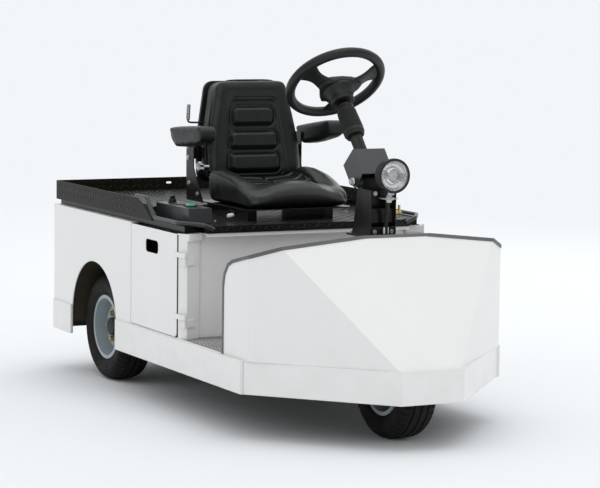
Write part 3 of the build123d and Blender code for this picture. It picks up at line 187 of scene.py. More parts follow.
# %% Helpers for finishes
class Finish:
    """A procedural material under construction."""

    def __init__(self, name, colour, roughness, metallic=0.0, coat=0.0, specular=0.5):
        self.material = bpy.data.materials.new(name)
        self.material.use_nodes = True
        self.tree = self.material.node_tree
        self.shader = self.tree.nodes["Principled BSDF"]
        self.shader.inputs["Base Color"].default_value = (*colour, 1.0)
        self.shader.inputs["Roughness"].default_value = roughness
        self.shader.inputs["Metallic"].default_value = metallic
        self.shader.inputs["Coat Weight"].default_value = coat
        self.shader.inputs["Coat Roughness"].default_value = 0.08
        self.shader.inputs["Specular IOR Level"].default_value = specular
        self.place = self.tree.nodes.new("ShaderNodeTexCoord").outputs["Object"]
        self.colour = (*colour, 1.0)
        self.normal = None

    def link(self, output, socket):
        self.tree.links.new(output, socket)

    def noise(self, scale, detail=3.0, low=0.3, high=0.7):
        """Cloudy noise spread over 0 to 1."""
        node = self.tree.nodes.new("ShaderNodeTexNoise")
        node.inputs["Scale"].default_value = scale
        node.inputs["Detail"].default_value = detail
        self.link(self.place, node.inputs["Vector"])
        return self.spread(node.outputs["Fac"], low, high, 0.0, 1.0)

    def spread(self, value, low, high, start, end):
        """Maps low..high to start..end, with both ends held."""
        node = self.tree.nodes.new("ShaderNodeMapRange")
        for i, number in enumerate((low, high, start, end), 1):
            node.inputs[i].default_value = number
        self.link(value, node.inputs[0])
        return node.outputs[0]

    def height_mask(self, low, high):
        """1 at the height low and below, 0 at the height high and above."""
        split = self.tree.nodes.new("ShaderNodeSeparateXYZ")
        self.link(self.place, split.inputs[0])
        return self.spread(split.outputs["Z"], low, high, 1.0, 0.0)

    def times(self, a, b):
        """Two masks, or a mask and a number, multiplied."""
        node = self.tree.nodes.new("ShaderNodeMath")
        node.operation = "MULTIPLY"
        for socket, value in zip(node.inputs, (a, b)):
            if isinstance(value, float):
                socket.default_value = value
            else:
                self.link(value, socket)
        return node.outputs[0]

    def tint(self, mask, colour):
        """Mixes a second colour over the base where the mask is 1."""
        node = self.tree.nodes.new("ShaderNodeMix")
        node.data_type = "RGBA"
        self.link(mask, node.inputs["Factor"])
        base = self.shader.inputs["Base Color"]
        if base.is_linked:
            self.link(base.links[0].from_socket, node.inputs[6])
        else:
            node.inputs[6].default_value = self.colour
        node.inputs[7].default_value = (*colour, 1.0)
        self.link(node.outputs[2], base)

    def gloss(self, mask, low, high):
        """Roughness from low to high with the mask."""
        self.link(self.spread(mask, 0.0, 1.0, low, high), self.shader.inputs["Roughness"])

    def edges(self, radius):
        """Sharp edges are rounded by this radius in shading."""
        node = self.tree.nodes.new("ShaderNodeBevel")
        node.samples = 6
        node.inputs["Radius"].default_value = radius
        self.normal = node.outputs[0]
        self.link(self.normal, self.shader.inputs["Normal"])

    def relief(self, height, distance, strength=1.0):
        """Fine relief from a height value."""
        node = self.tree.nodes.new("ShaderNodeBump")
        node.inputs["Distance"].default_value = distance
        node.inputs["Strength"].default_value = strength
        self.link(height, node.inputs["Height"])
        if self.normal:
            self.link(self.normal, node.inputs["Normal"])
        self.normal = node.outputs[0]
        self.link(self.normal, self.shader.inputs["Normal"])


print("finish helpers ready")

# %% [markdown]
# ## Paint
# The body is baked white enamel: glossy, with a faint orange-peel skin, and a breath
# of road dust low down. The decks, tower and brackets are black powder coat, which is
# a little rougher, and duller on the tray's walls. The console, its rails and the tilt
# box are a satin grey-black, and the chassis underneath is plain satin black with dust
# on it. The bands are bent from one sheet, so their edges are rounder than cut ones.
# The gloss of each paint varies a little, but only above or only below a roughness of
# 0.27: where it crossed that value, the denoiser left blotches with an outline.

# %% Paint finishes
WHITE, ROAD_DUST = (0.85, 0.84, 0.832), (0.66, 0.64, 0.6)
WHITE_GLOSS, FINE_PEEL = (0.29, 0.33), 0.00003
DUST_FULL, DUST_END, DUST_SHARE = 0.12, 0.42, 0.35


def enamel(name, colour, dust, rough, peel, coat=0.35, specular=0.5, fold=0.0022):
    """Paint with a skin of orange peel, dust low down, and edges rounded by the fold."""
    finish = Finish(name, colour, rough[0], coat=coat, specular=specular)
    finish.gloss(finish.noise(6.0, 2.0, low=0.0, high=1.0), *rough)
    shade = tuple(v * 0.985 for v in colour)
    finish.tint(finish.noise(2.3, 2.0), shade)
    patches = finish.noise(9.0, 6.0, low=0.4, high=0.75)
    low_dust = finish.times(finish.height_mask(DUST_FULL, DUST_END), patches)
    finish.tint(finish.times(low_dust, DUST_SHARE), dust)
    finish.edges(fold)
    finish.relief(finish.noise(300.0, 1.0), peel, 0.2)
    return finish.material


white_enamel = enamel("white_enamel", WHITE, ROAD_DUST, WHITE_GLOSS, FINE_PEEL)
band_enamel = enamel("folded_white_enamel", WHITE, ROAD_DUST, WHITE_GLOSS, FINE_PEEL, fold=0.005)
black_powder = enamel(
    "black_powder_coat", (0.0095, 0.0092, 0.0080), (0.03, 0.028, 0.023), (0.2, 0.265), 0.0001,
    0.0, 0.2,
)
wall_powder = enamel(
    "wall_powder_coat", (0.0125, 0.0115, 0.0075), (0.03, 0.028, 0.02), (0.29, 0.38), 0.0001,
    0.0, 0.08,
)
satin_panel = enamel(
    "satin_panel", (0.026, 0.030, 0.033), (0.05, 0.048, 0.042), (0.285, 0.36), 0.0001, 0.05
)
chassis_black = enamel(
    "chassis_black", (0.014, 0.013, 0.012), (0.07, 0.06, 0.045), (0.45, 0.7), 0.0003, 0.0
)
# The wheelhouses' brown-black base is partly a painted reflection: its brown stands for the ground
# mirrored in the dark sheet.
house_black = enamel(
    "wheelhouse_black", (0.028, 0.021, 0.010), (0.09, 0.075, 0.05), (0.5, 0.75), 0.0004, 0.0
)
rim_enamel = enamel(
    "rim_enamel", (0.33, 0.39, 0.415), (0.22, 0.21, 0.19), (0.285, 0.4), 0.00015, 0.2
)
print("paints:", len(bpy.data.materials), "materials so far")

# %% [markdown]
# ## Vinyl, rubber and plastic
# Seat vinyl has a pebbled grain of cells about a millimetre across, seen best where
# the light grazes it. Tyre rubber is dull with a brown bloom of dust. Moulded plastic
# has a finer, sharper grain, and sleeves are plain soft rubber. The cowl's trim is a paler
# grey rubber: partly its own grey, partly a painted reflection of the light along its top.

# %% Soft and moulded finishes
def grained(name, colour, rough, cell, depth, bloom=None, specular=0.38):
    """A matt finish whose relief has cells of one size, with a bloom in patches."""
    finish = Finish(name, colour, rough[0], specular=specular)
    cells = finish.tree.nodes.new("ShaderNodeTexVoronoi")
    cells.feature = "SMOOTH_F1"
    cells.inputs["Scale"].default_value = 1.0 / cell
    finish.link(finish.place, cells.inputs["Vector"])
    finish.gloss(finish.noise(14.0, 5.0), *rough)
    finish.tint(finish.noise(5.0, 3.0), bloom or tuple(v * 1.35 for v in colour))
    finish.relief(cells.outputs["Distance"], depth, 0.6)
    return finish.material


vinyl = grained("black_vinyl", (0.006, 0.007, 0.0066), (0.28, 0.4), 0.0016, 0.0003, specular=0.42)
moulded = grained("moulded_black", (0.007, 0.0078, 0.0076), (0.34, 0.46), 0.0011, 0.00015)
rubber = grained("soft_rubber", (0.010, 0.0102, 0.0100), (0.5, 0.65), 0.002, 0.0001)
# The trim's paler grey is partly its own colour and partly a painted reflection of light on its
# top.
trim_rubber = grained("trim_rubber", (0.10, 0.102, 0.104), (0.4, 0.55), 0.002, 0.0001)
tyre_rubber = grained(
    "tyre_rubber", (0.006, 0.0058, 0.0052), (0.6, 0.85), 0.003, 0.0003,
    bloom=(0.012, 0.011, 0.009), specular=0.25,
)
print("soft finishes:", vinyl.name, moulded.name, rubber.name, tyre_rubber.name)

# %% [markdown]
# ## Metals, glass and small colours
# Bolts and knobs are zinc plated or polished steel, lug nuts are yellow zinc. The
# lamp's glass is a thin clear shell in front of a mirror bowl. One rocker switch is
# green. The step-through floor wears a grey grip mat with a fine pattern of ribs.

# %% Metal, glass and mat finishes
def metal(name, colour, rough, swirl=30.0):
    """Bare or plated metal, with cloudy changes of gloss and tone."""
    finish = Finish(name, colour, rough[0], metallic=1.0)
    finish.gloss(finish.noise(swirl, 6.0), *rough)
    finish.tint(finish.noise(60.0, 4.0), tuple(v * 0.8 for v in colour))
    return finish.material


zinc = metal("zinc_plate", (0.62, 0.63, 0.64), (0.22, 0.4))
chrome = metal("chrome", (0.42, 0.43, 0.44), (0.16, 0.26))
yellow_zinc = metal("yellow_zinc", (0.6, 0.45, 0.2), (0.28, 0.45))
mirror = metal("lamp_mirror", (0.90, 0.90, 0.89), (0.03, 0.05), 12.0)


def clear_glass():
    """A thin clear lens with faint ribs across it."""
    finish = Finish("lamp_glass", (0.92, 0.95, 0.97), 0.04, coat=0.6)
    finish.shader.inputs["Alpha"].default_value = 0.12
    rings = finish.tree.nodes.new("ShaderNodeTexWave")
    rings.bands_direction = "Y"
    rings.inputs["Scale"].default_value = 95.0
    finish.link(finish.place, rings.inputs["Vector"])
    finish.gloss(finish.noise(30.0), 0.03, 0.08)
    finish.relief(rings.outputs["Fac"], 0.0006, 0.5)
    return finish.material


def rocker_green():
    """The bright plastic of the rocker switch."""
    finish = Finish("rocker_green", (0.03, 0.55, 0.27), 0.3, coat=0.4)
    finish.gloss(finish.noise(80.0), 0.22, 0.34)
    finish.tint(finish.noise(40.0), (0.05, 0.62, 0.33))
    finish.relief(finish.noise(300.0), 0.0001, 0.4)
    return finish.material


def grip_mat(name, shade):
    """Worn grey rubber of one shade, with a fine tooth."""
    finish = Finish(name, (shade, shade, shade), 0.7)
    finish.tint(finish.noise(7.0, 5.0), (shade * 1.25, shade * 1.25, shade * 1.23))
    finish.gloss(finish.noise(20.0), 0.6, 0.8)
    finish.relief(finish.noise(900.0), 0.0003, 0.5)
    return finish.material


lamp_glass = clear_glass()
green_switch = rocker_green()
mat_grey = grip_mat("mat_base", 0.19)
rib_grey = grip_mat("mat_ribs", 0.46)
white_clip = grained("white_clip", (0.7, 0.71, 0.72), (0.35, 0.5), 0.002, 0.0001)
print("metals:", zinc.name, chrome.name, yellow_zinc.name, mirror.name)

# %% [markdown]
# ## Every solid gets its finish
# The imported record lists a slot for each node. The table here names the finish for
# each group of nodes, and the last line prints any node that has been forgotten.

# %% Give the solids their finishes
finish_table = {
    band_enamel: "front_bumper rear_bumper side_band_right side_band_left",
    white_enamel: "body_side_right body_side_left tail_panel front_bulkhead cowl door_right "
    "door_left hinges_right hinges_left",
    wall_powder: "deck_walls",
    black_powder: "seat_deck cargo_deck seat_slides seat_pan steering_tower "
    "deck_frame steering_head column_tube",
    satin_panel: "guard_rail_right guard_rail_left console column_bracket",
    chassis_black: "frame floor_pan rear_axle leaf_springs front_fork drive_motor tow_hitch",
    house_black: "wheelhouse_right wheelhouse_left wheelhouse_front",
    zinc: "front_axle",
    vinyl: "seat_cushion seat_back",
    moulded: "seat_back_shell armrest_right armrest_left steering_wheel headlamp battery_pack",
    rubber: "column_boot pedals",
    trim_rubber: "cowl_trim",
    mat_grey: "floor_mat",
    tyre_rubber: "front_tyre rear_right_tyre rear_left_tyre",
    rim_enamel: "front_rim rear_right_rim rear_left_rim",
    lamp_glass: "headlamp_lens",
}
finished = set()
for finish, names in finish_table.items():
    for node in names.split():
        for socket in nodes[node].material_slots:
            socket.link = "OBJECT"
            socket.material = finish
        finished.add(node)
print("without a finish:", sorted(set(nodes) - finished))

# %% [markdown]
# ## Helpers for pieces
# New pieces start as simple bmesh shapes. A lathe spins a profile about an axis, and a
# plate is an outline given a thickness. Each finished piece rides on a body of the tug
# and gets its finish.

# %% Piece helpers
def finished_piece(name, bm, body, finish, sharp=35.0):
    """A bmesh becomes a shaded piece that rides on a body."""
    bmesh.ops.recalc_face_normals(bm, faces=bm.faces)
    mesh = bpy.data.meshes.new(name)
    bm.to_mesh(mesh)
    bm.free()
    mesh.shade_smooth()
    mesh.set_sharp_from_angle(angle=radians(sharp))
    obj = bpy.data.objects.new(name, mesh)
    scene.collection.objects.link(obj)
    mesh.materials.append(finish)
    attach(obj, body)
    return obj


def turned(centre, axis, spin=0.0):
    """Matrix that stands a shape, made along +Z at the origin, at a place along an axis."""
    turn = Vector(axis).normalized().to_track_quat("Z", "Y").to_matrix().to_4x4()
    return Matrix.Translation(centre) @ turn @ Matrix.Rotation(spin, 4, "Z")


def lathe(bm, profile, matrix, steps=48):
    """Spins (radius, height) points about the Z axis of the matrix, and closes the seam."""
    verts = [bm.verts.new((r, 0.0, h)) for r, h in profile]
    edges = [bm.edges.new(pair) for pair in zip(verts, verts[1:])]
    bmesh.ops.spin(
        bm, geom=verts + edges, cent=(0, 0, 0), axis=(0, 0, 1), angle=2 * pi, steps=steps,
        use_merge=True,
    )
    made = set(verts)  # every point that hangs together with the profile
    stack = list(verts)
    while stack:
        for edge in stack.pop().link_edges:
            for vert in edge.verts:
                if vert not in made:
                    made.add(vert)
                    stack.append(vert)
    bmesh.ops.remove_doubles(bm, verts=list(made), dist=1e-6)
    made = [v for v in made if v.is_valid]
    bmesh.ops.transform(bm, matrix=matrix, verts=made)


def plate(bm, outline, thickness, matrix, rounding=0.0, segments=2):
    """An outline in XY given a thickness along +Z, with its edges rounded."""
    verts = [bm.verts.new((x, y, 0.0)) for x, y in outline]
    face = bm.faces.new(verts)
    grown = bmesh.ops.extrude_face_region(bm, geom=[face])
    top = [g for g in grown["geom"] if isinstance(g, bmesh.types.BMVert)]
    bmesh.ops.translate(bm, vec=(0, 0, thickness), verts=top)
    if not face.is_valid:
        bm.faces.new(verts)
    whole = verts + top
    if rounding:
        edges = list({e for v in whole for e in v.link_edges})
        made = bmesh.ops.bevel(
            bm, geom=edges, offset=rounding, segments=segments, affect="EDGES", profile=0.5,
            material=-1,
        )
        whole = list({v for f in made["faces"] for v in f.verts} | {v for v in whole if v.is_valid})
    bmesh.ops.transform(bm, matrix=matrix, verts=whole)


def rectangle(half_x, half_y):
    """The outline of a rectangle about the origin."""
    return [(-half_x, -half_y), (half_x, -half_y), (half_x, half_y), (-half_x, half_y)]


def cog(count, low, high, run=1):
    """An outline that steps between two radii, for flutes and star knobs."""
    outline = []
    for k in range(count):
        reach = high if (k // run) % 2 else low
        outline.append((reach * cos(2 * pi * k / count), reach * sin(2 * pi * k / count)))
    return outline


def pin(radius, length):
    """The lathe profile of a plain round pin."""
    return [(0.0, 0.0), (radius, 0.0), (radius, length), (0.0, length)]


print("lathe and plate ready")

# %% [markdown]
# ## Rods and bolt heads
# A bent rod is a curve with a round section, because a curve bends evenly between a
# few points. Bolt heads repeat all over the tug, so one helper places a whole set.

# %% Rods and bolt heads
def rod(name, points, radius, body, finish, cyclic=False):
    """A round bar along a smooth curve."""
    data = bpy.data.curves.new(name, "CURVE")
    data.dimensions = "3D"
    data.bevel_depth = radius
    data.bevel_resolution = 5
    data.resolution_u = 8
    data.use_fill_caps = True
    spline = data.splines.new("NURBS")
    spline.points.add(len(points) - 1)
    for place, point in zip(spline.points, points):
        place.co = (*point, 1.0)
    spline.order_u = 3
    spline.use_endpoint_u = not cyclic
    spline.use_cyclic_u = cyclic
    obj = bpy.data.objects.new(name, data)
    scene.collection.objects.link(obj)
    data.materials.append(finish)
    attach(obj, body)
    return obj


def hex_heads(name, places, radius, height, body, finish, washer=1.5):
    """Hexagon heads on washers: places are (point, outward direction)."""
    bm = bmesh.new()
    for point, direction in places:
        for r, low, high, count in (
            (radius * washer, 0.0, height * 0.25, 20), (radius, height * 0.25, height, 6)
        ):
            made = bmesh.ops.create_cone(
                bm, cap_ends=True, segments=count, radius1=r, radius2=r * 0.94, depth=high - low
            )
            shift = Matrix.Translation((0, 0, (low + high) / 2))
            bmesh.ops.transform(bm, matrix=turned(point, direction) @ shift, verts=made["verts"])
    return finished_piece(name, bm, body, finish)


print("rods and bolt heads ready")

# %% [markdown]
# ## Tread plate
# The decks, the lip and the tray's walls are steel tread plate. Its raised bars are
# lozenges that turn left and right by turns. One lozenge is a low cone of six sides,
# flattened, and is copied over each sheet. It is real geometry, so it catches light.

# %% Raised lozenges
PITCH = 0.028
LOZENGE = (0.0128, 0.0036, 0.0020)
LOZENGE_SIDES = 6
LOZENGE_LIFT = 0.0006
SHEET = 0.004
LIP_HALF, TAIL_HALF = 0.462, 0.525
WALL_START, WALL_RUN, INNER_RISE = 0.02, 0.86, 0.054
CUT_START, CUT_SLOPE, CUT_HALF = 0.118, 0.55, 0.508


def tread(name, corner, along, across, body, inside=None):
    """Lozenges over the rectangle that starts at a corner, on its outward side."""
    along, across = Vector(along), Vector(across)
    outward = along.cross(across).normalized()
    columns, rows = round(along.length / PITCH), max(1, round(across.length / PITCH))
    bm = bmesh.new()
    for i in range(columns):
        for j in range(rows):
            spot = Vector(corner) + along * ((i + 0.5) / columns) + across * ((j + 0.5) / rows)
            if inside and not inside(spot):
                continue
            spin = Matrix.Rotation(radians(45 if (i + j) % 2 else -45), 4, outward)
            frame3 = Matrix((along.normalized(), across.normalized(), outward)).transposed()
            made = bmesh.ops.create_cone(
                bm, cap_ends=True, segments=LOZENGE_SIDES, radius1=1.0, radius2=0.62, depth=1.0
            )
            size = Matrix.Diagonal((*LOZENGE, 1.0))
            lift = Matrix.Translation(spot + outward * LOZENGE_LIFT)
            bmesh.ops.transform(
                bm, matrix=lift @ spin @ frame3.to_4x4() @ size, verts=made["verts"]
            )
    print(name, "lozenges:", len(bm.verts) // (2 * LOZENGE_SIDES))
    return finished_piece(name, bm, body, tread_black, sharp=20)


tread_black = enamel(
    "tread_bars", (0.012, 0.0118, 0.0105), (0.05, 0.047, 0.04), (0.16, 0.26), 0.0001, 0.0, 0.4
)
deck_low, deck_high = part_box("cargo_deck")
seat_low, seat_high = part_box("seat_deck")
wall_low, wall_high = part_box("deck_walls")


def off_corner(spot):
    """Keeps lozenges off the deck's cut front corners and from under the console."""
    over = spot.x - CUT_START
    return over < 0 or abs(spot.y) + over * CUT_SLOPE < CUT_HALF


def off_slot(spot):
    """Keeps lozenges off the slot in the middle of the tailboard."""
    return abs(spot.y) > 0.03


tread("cargo_tread", (deck_low.x, deck_low.y, deck_high.z), (deck_high.x - deck_low.x, 0, 0),
      (0, deck_high.y - deck_low.y, 0), "chassis")
tread("seat_deck_tread", (seat_low.x, seat_low.y, seat_high.z), (seat_high.x - seat_low.x, 0, 0),
      (0, seat_high.y - seat_low.y, 0), "chassis", off_corner)
tread("lip_tread", (seat_high.x, -LIP_HALF, seat_high.z - 0.023), (0, 2 * LIP_HALF, 0),
      (0, 0, 0.02), "chassis")
wall_z, wall_rise = wall_low.z + 0.012, wall_high.z - wall_low.z - 0.02
inner_z = deck_high.z + 0.002
tread("tailboard_tread_in", (wall_low.x + SHEET, TAIL_HALF, inner_z), (0, -2 * TAIL_HALF, 0),
      (0, 0, INNER_RISE), "chassis", off_slot)
tread("tailboard_tread_out", (wall_low.x, -TAIL_HALF, wall_z), (0, 2 * TAIL_HALF, 0),
      (0, 0, wall_rise), "chassis", off_slot)
rear_end = wall_low.x + WALL_START
front_end = rear_end + WALL_RUN
slant = Vector((wall_high.x, 0, wall_low.z)) - Vector((-0.211, 0, 0.796))
for side, label in ((-1, "right"), (1, "left")):
    out_start, in_start = (rear_end, front_end) if side < 0 else (front_end, rear_end)
    tread(f"wall_tread_out_{label}", (out_start, side * wall_high.y, wall_z),
          (-side * WALL_RUN, 0, 0), (0, 0, wall_rise), "chassis")
    tread(f"wall_tread_in_{label}", (in_start, side * (wall_high.y - SHEET), inner_z),
          (side * WALL_RUN, 0, 0), (0, 0, INNER_RISE), "chassis")
    tread(f"return_tread_{label}", (-0.206, 0.502 if side > 0 else -0.531, 0.796),
          slant * 0.86, (0, 0.03, 0), "chassis")

# %% [markdown]
# ## The grip mat
# The step-through floor has a grey mat with short ribs in a basket pattern, which
# gives wet shoes a hold. The ribs are low bars in a grid, turned by turns.

# %% Ribs of the mat
mat_low, mat_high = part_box("floor_mat")
RIB = (0.016, 0.004, 0.002)
RIB_COLUMNS, RIB_ROWS = 17, 52
RIB_STEP_X, RIB_STEP_Y = 0.0185, 0.0204
RIB_SIDE = 0.53
rib_start = mat_low.x + 0.073
bm = bmesh.new()
for i in range(RIB_COLUMNS):
    x = rib_start + i * RIB_STEP_X
    if x > mat_high.x - RIB[0] / 2:
        continue
    for j in range(RIB_ROWS):
        y = (j + 0.5) * RIB_STEP_Y - RIB_SIDE
        made = bmesh.ops.create_cube(bm, size=1.0)
        turn = Matrix.Rotation(radians(90 if (i + j) % 2 else 0), 4, "Z")
        place = Matrix.Translation((x, y, mat_high.z)) @ turn @ Matrix.Diagonal((*RIB, 1.0))
        bmesh.ops.transform(bm, matrix=place, verts=made["verts"])
print("mat ribs:", len(bm.verts) // 8)
finished_piece("mat_ribs", bm, "chassis", rib_grey)

# %% [markdown]
# ## Soft shapes from their solids
# The cushion, the backrest and the armrests are foam under sewn vinyl. Each starts as
# a copy of its CAD solid, a little smaller, remeshed to even squares and smoothed so
# that its edges turn softly. Cloth under pressure then swells it like real foam
# pulled into a tight cover, and a cap keeps any point from moving too far.

# %% Helpers for foam
def soft_copy(node, shrink, voxel, rounds):
    """An evenly meshed, rounded copy of a CAD solid, pulled in by shrink."""
    bm = bmesh.new()
    bm.from_mesh(nodes[node].data)
    bmesh.ops.remove_doubles(bm, verts=bm.verts, dist=1e-5)
    mesh = bpy.data.meshes.new(node + "_cover")
    bm.to_mesh(mesh)
    bm.free()
    obj = bpy.data.objects.new(node + "_cover", mesh)
    scene.collection.objects.link(obj)
    even = obj.modifiers.new("even", "REMESH")
    even.mode = "VOXEL"
    even.voxel_size = voxel
    ease = obj.modifiers.new("ease", "SMOOTH")
    ease.factor = 0.5
    ease.iterations = rounds
    settle(obj)
    low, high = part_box(node)
    middle = (low + high) / 2
    room = (high - low) / 2
    for vert in obj.data.vertices:
        for k in range(3):
            vert.co[k] = middle[k] + (vert.co[k] - middle[k]) * (1 - shrink / room[k])
    return obj


def settle(obj):
    """Applies the modifiers to the mesh."""
    bpy.context.view_layer.update()
    graph = bpy.context.evaluated_depsgraph_get()
    mesh = bpy.data.meshes.new_from_object(obj.evaluated_get(graph))
    old = obj.data
    obj.modifiers.clear()
    obj.data = mesh
    bpy.data.meshes.remove(old)


def inflate(obj, cap, pressure=4.0, frames=20):
    """Swells a closed form with cloth under pressure; no point moves past the cap."""
    rest = [v.co.copy() for v in obj.data.vertices]
    cloth = obj.modifiers.new("foam", "CLOTH")
    cloth.settings.quality = 5
    cloth.settings.mass = 0.3
    cloth.settings.use_pressure = True
    cloth.settings.uniform_pressure_force = pressure
    cloth.settings.effector_weights.gravity = 0.0
    cloth.point_cache.frame_start = 1
    cloth.point_cache.frame_end = frames
    for step in range(1, frames + 1):
        scene.frame_set(step)
    settle(obj)
    scene.frame_set(1)
    for vert, start in zip(obj.data.vertices, rest):
        move = vert.co - start
        if move.length > cap:
            vert.co = start + move * (cap / move.length)


def even_out(obj, rounds):
    """Smooths a swollen form, as a tight cover over firm foam is smooth."""
    ease = obj.modifiers.new("ease", "SMOOTH")
    ease.iterations = rounds
    settle(obj)


def refine(obj):
    """One level of subdivision, applied."""
    finer = obj.modifiers.new("finer", "SUBSURF")
    finer.levels = finer.render_levels = 1
    settle(obj)


print("foam helpers ready")

# %% [markdown]
# ## Shaping a cover
# Sewn pads are hollows, rises and seams that lie on one surface. Three small functions
# describe them all: a ramp that blends, a seam that dips on its line, and the distance
# to a rounded rectangle, which is the plan of every pad.

# %% Helpers for sewn pads
def ramp(value, low, high):
    """0 below low, 1 above high, smooth between."""
    t = min(1.0, max(0.0, (value - low) / (high - low)))
    return t * t * (3 - 2 * t)


def seam(distance, width):
    """Depth profile of a sewn seam, 1 on the line."""
    return exp(-((distance / width) ** 2))


def box_distance(x, y, half_x, half_y, corner):
    """Signed distance to a rounded rectangle: negative inside."""
    dx, dy = abs(x) - half_x + corner, abs(y) - half_y + corner
    outside = hypot(max(dx, 0.0), max(dy, 0.0))
    return outside + min(max(dx, dy), 0.0) - corner


def cover(obj, finish):
    obj.data.shade_smooth()
    obj.data.materials.clear()
    obj.data.materials.append(finish)
    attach(obj, "chassis")
    print(obj.name, "faces:", len(obj.data.polygons))


print("pad helpers ready")

# %% [markdown]
# ## The backrest
# Its face has a plain bolstered border round a sunk panel, which narrows upwards, and
# three long pads stand out of that panel like loaves. The pads are pushed out along the
# lean of the back, with a seam round each. Each pad is a height up the back, half its
# height and half its width.

# %% Backrest cover
BACK_LEAN = radians(8)
back_origin = Vector((-0.266, 0, 0.880))
back_up = Vector((-sin(BACK_LEAN), 0, cos(BACK_LEAN)))
back_out = Vector((cos(BACK_LEAN), 0, sin(BACK_LEAN)))
PADS = ((0.070, 0.042, 0.118), (0.164, 0.040, 0.112), (0.264, 0.042, 0.098))
PAD_CORNER, PAD_RISE = 0.028, 0.018
PANEL_UP, PANEL_HALF_WIDTH, PANEL_HALF_HEIGHT, PANEL_CORNER = 0.172, 0.13, 0.166, 0.03
PANEL_FOOT_REACH, PANEL_TAPER, PANEL_SINK = 0.141, 0.122, 0.010
BOLSTER_RISE, BACK_SEAM = 0.006, 0.004

seat_back = soft_copy("seat_back", 0.006, 0.006, 34)
inflate(seat_back, 0.004)
even_out(seat_back, 10)
refine(seat_back)
for vert in seat_back.data.vertices:
    offset = vert.co - back_origin
    across, up, depth = offset.y, offset.dot(back_up), -offset.dot(back_out)
    front = 1 - ramp(depth, 0.016, 0.034)
    if front <= 0:
        continue
    panel_reach = PANEL_FOOT_REACH - (up - 0.05) * PANEL_TAPER
    panel = box_distance(across / panel_reach * PANEL_HALF_WIDTH, up - PANEL_UP,
                         PANEL_HALF_WIDTH, PANEL_HALF_HEIGHT, PANEL_CORNER)
    push = -PANEL_SINK * (1 - ramp(panel, -0.014, 0.0)) - BACK_SEAM * seam(panel, 0.006)
    push += BOLSTER_RISE * ramp(panel, 0.0, 0.05) * (1 - ramp(abs(across), 0.18, 0.215))
    for pad_up, half_height, half_width in PADS:
        pad = box_distance(across, up - pad_up, half_width, half_height, PAD_CORNER)
        push += PAD_RISE * (1 - ramp(pad, -0.020, 0.003)) - BACK_SEAM * seam(pad - 0.002, 0.004)
    vert.co += back_out * push * front
cover(seat_back, vinyl)
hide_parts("seat_back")

# %% [markdown]
# ## The seat cushion
# The cushion is one soft landscape. Its middle falls gently from the backrest to the
# lap, a roll with a bowed crest closes it in front, and a wing swells up along each
# side and dies away at the roll. The swollen copy is stretched upwards to that
# landscape, its front corners are turned round in plan, and then two columns of cross
# pads are sewn in, each seam bowed forward at the middle.

# %% Seat cushion cover
cushion_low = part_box("seat_cushion")[0]
CUSHION_LEAST = 0.82
FRONT_X, FRONT_Y = 0.110, 0.184
SEAM_LINES, SEAM_BOW, SEAM_DROP = (-0.225, -0.145, -0.065, 0.010), 0.040, 0.010
PANEL_DROP = 0.007
BACK_FOOT = 0.872  # above this height the cushion stays clear of the backrest
MIDDLE_LINE = ((-0.26, 0.908), (-0.20, 0.903), (-0.10, 0.892), (0.0, 0.876), (0.06, 0.870),
               (0.10, 0.867), (0.125, 0.858), (0.145, 0.842), (0.16, 0.815))
CREST_LINE = ((-0.26, -0.004), (-0.15, -0.006), (-0.05, 0.004), (0.02, 0.022), (0.06, 0.030),
              (0.10, 0.026), (0.16, 0.012))
WING_LINE = ((-0.26, 0.920), (-0.215, 0.933), (-0.15, 0.932), (-0.05, 0.917), (0.01, 0.899),
             (0.06, 0.878), (0.10, 0.864), (0.135, 0.846), (0.16, 0.815))


def along_line(line, x):
    """Height at x of a line of points, straight between the points."""
    for (x0, z0), (x1, z1) in zip(line, line[1:]):
        if x <= x1:
            t = min(1.0, max(0.0, (x - x0) / (x1 - x0)))
            return z0 + (z1 - z0) * t
    return line[-1][1]


def cushion_height(x, y):
    """The landscape of the cushion's top, which falls away round its edge."""
    side = abs(y)
    bowed = 1 - min(1.0, side / 0.16) ** 2
    middle = along_line(MIDDLE_LINE, x) + along_line(CREST_LINE, x) * bowed
    height = middle + (along_line(WING_LINE, x) - middle) * ramp(side, 0.105, 0.200)
    inside = -box_distance(x + 0.055, y, 0.215, 0.236, 0.06)
    return height - 0.030 * (1 - ramp(inside, -0.02, 0.05)) ** 2


cushion = soft_copy("seat_cushion", 0.007, 0.006, 40)
inflate(cushion, 0.007)
tops = BVHTree.FromPolygons(
    [v.co for v in cushion.data.vertices], [p.vertices for p in cushion.data.polygons]
)
heights = []
for vert in cushion.data.vertices:
    hit = tops.ray_cast(Vector((vert.co.x, vert.co.y, 1.2)), Vector((0, 0, -1)))[0]
    heights.append(hit.z if hit else vert.co.z)
for vert, top in zip(cushion.data.vertices, heights):
    x, y, z = vert.co
    wanted = cushion_height(x, y)
    share = (z - cushion_low.z) / max(0.02, top - cushion_low.z)
    vert.co.z = cushion_low.z + share * (max(CUSHION_LEAST, wanted) - cushion_low.z)
    ahead, out = x - FRONT_X, abs(y) - FRONT_Y
    if ahead > 0 and out > 0:  # the square corner becomes a quarter of a circle
        pull = max(ahead, out) / hypot(ahead, out)
        vert.co.x = FRONT_X + ahead * pull
        vert.co.y = (FRONT_Y + out * pull) * (1 if y > 0 else -1)
even_out(cushion, 10)
refine(cushion)
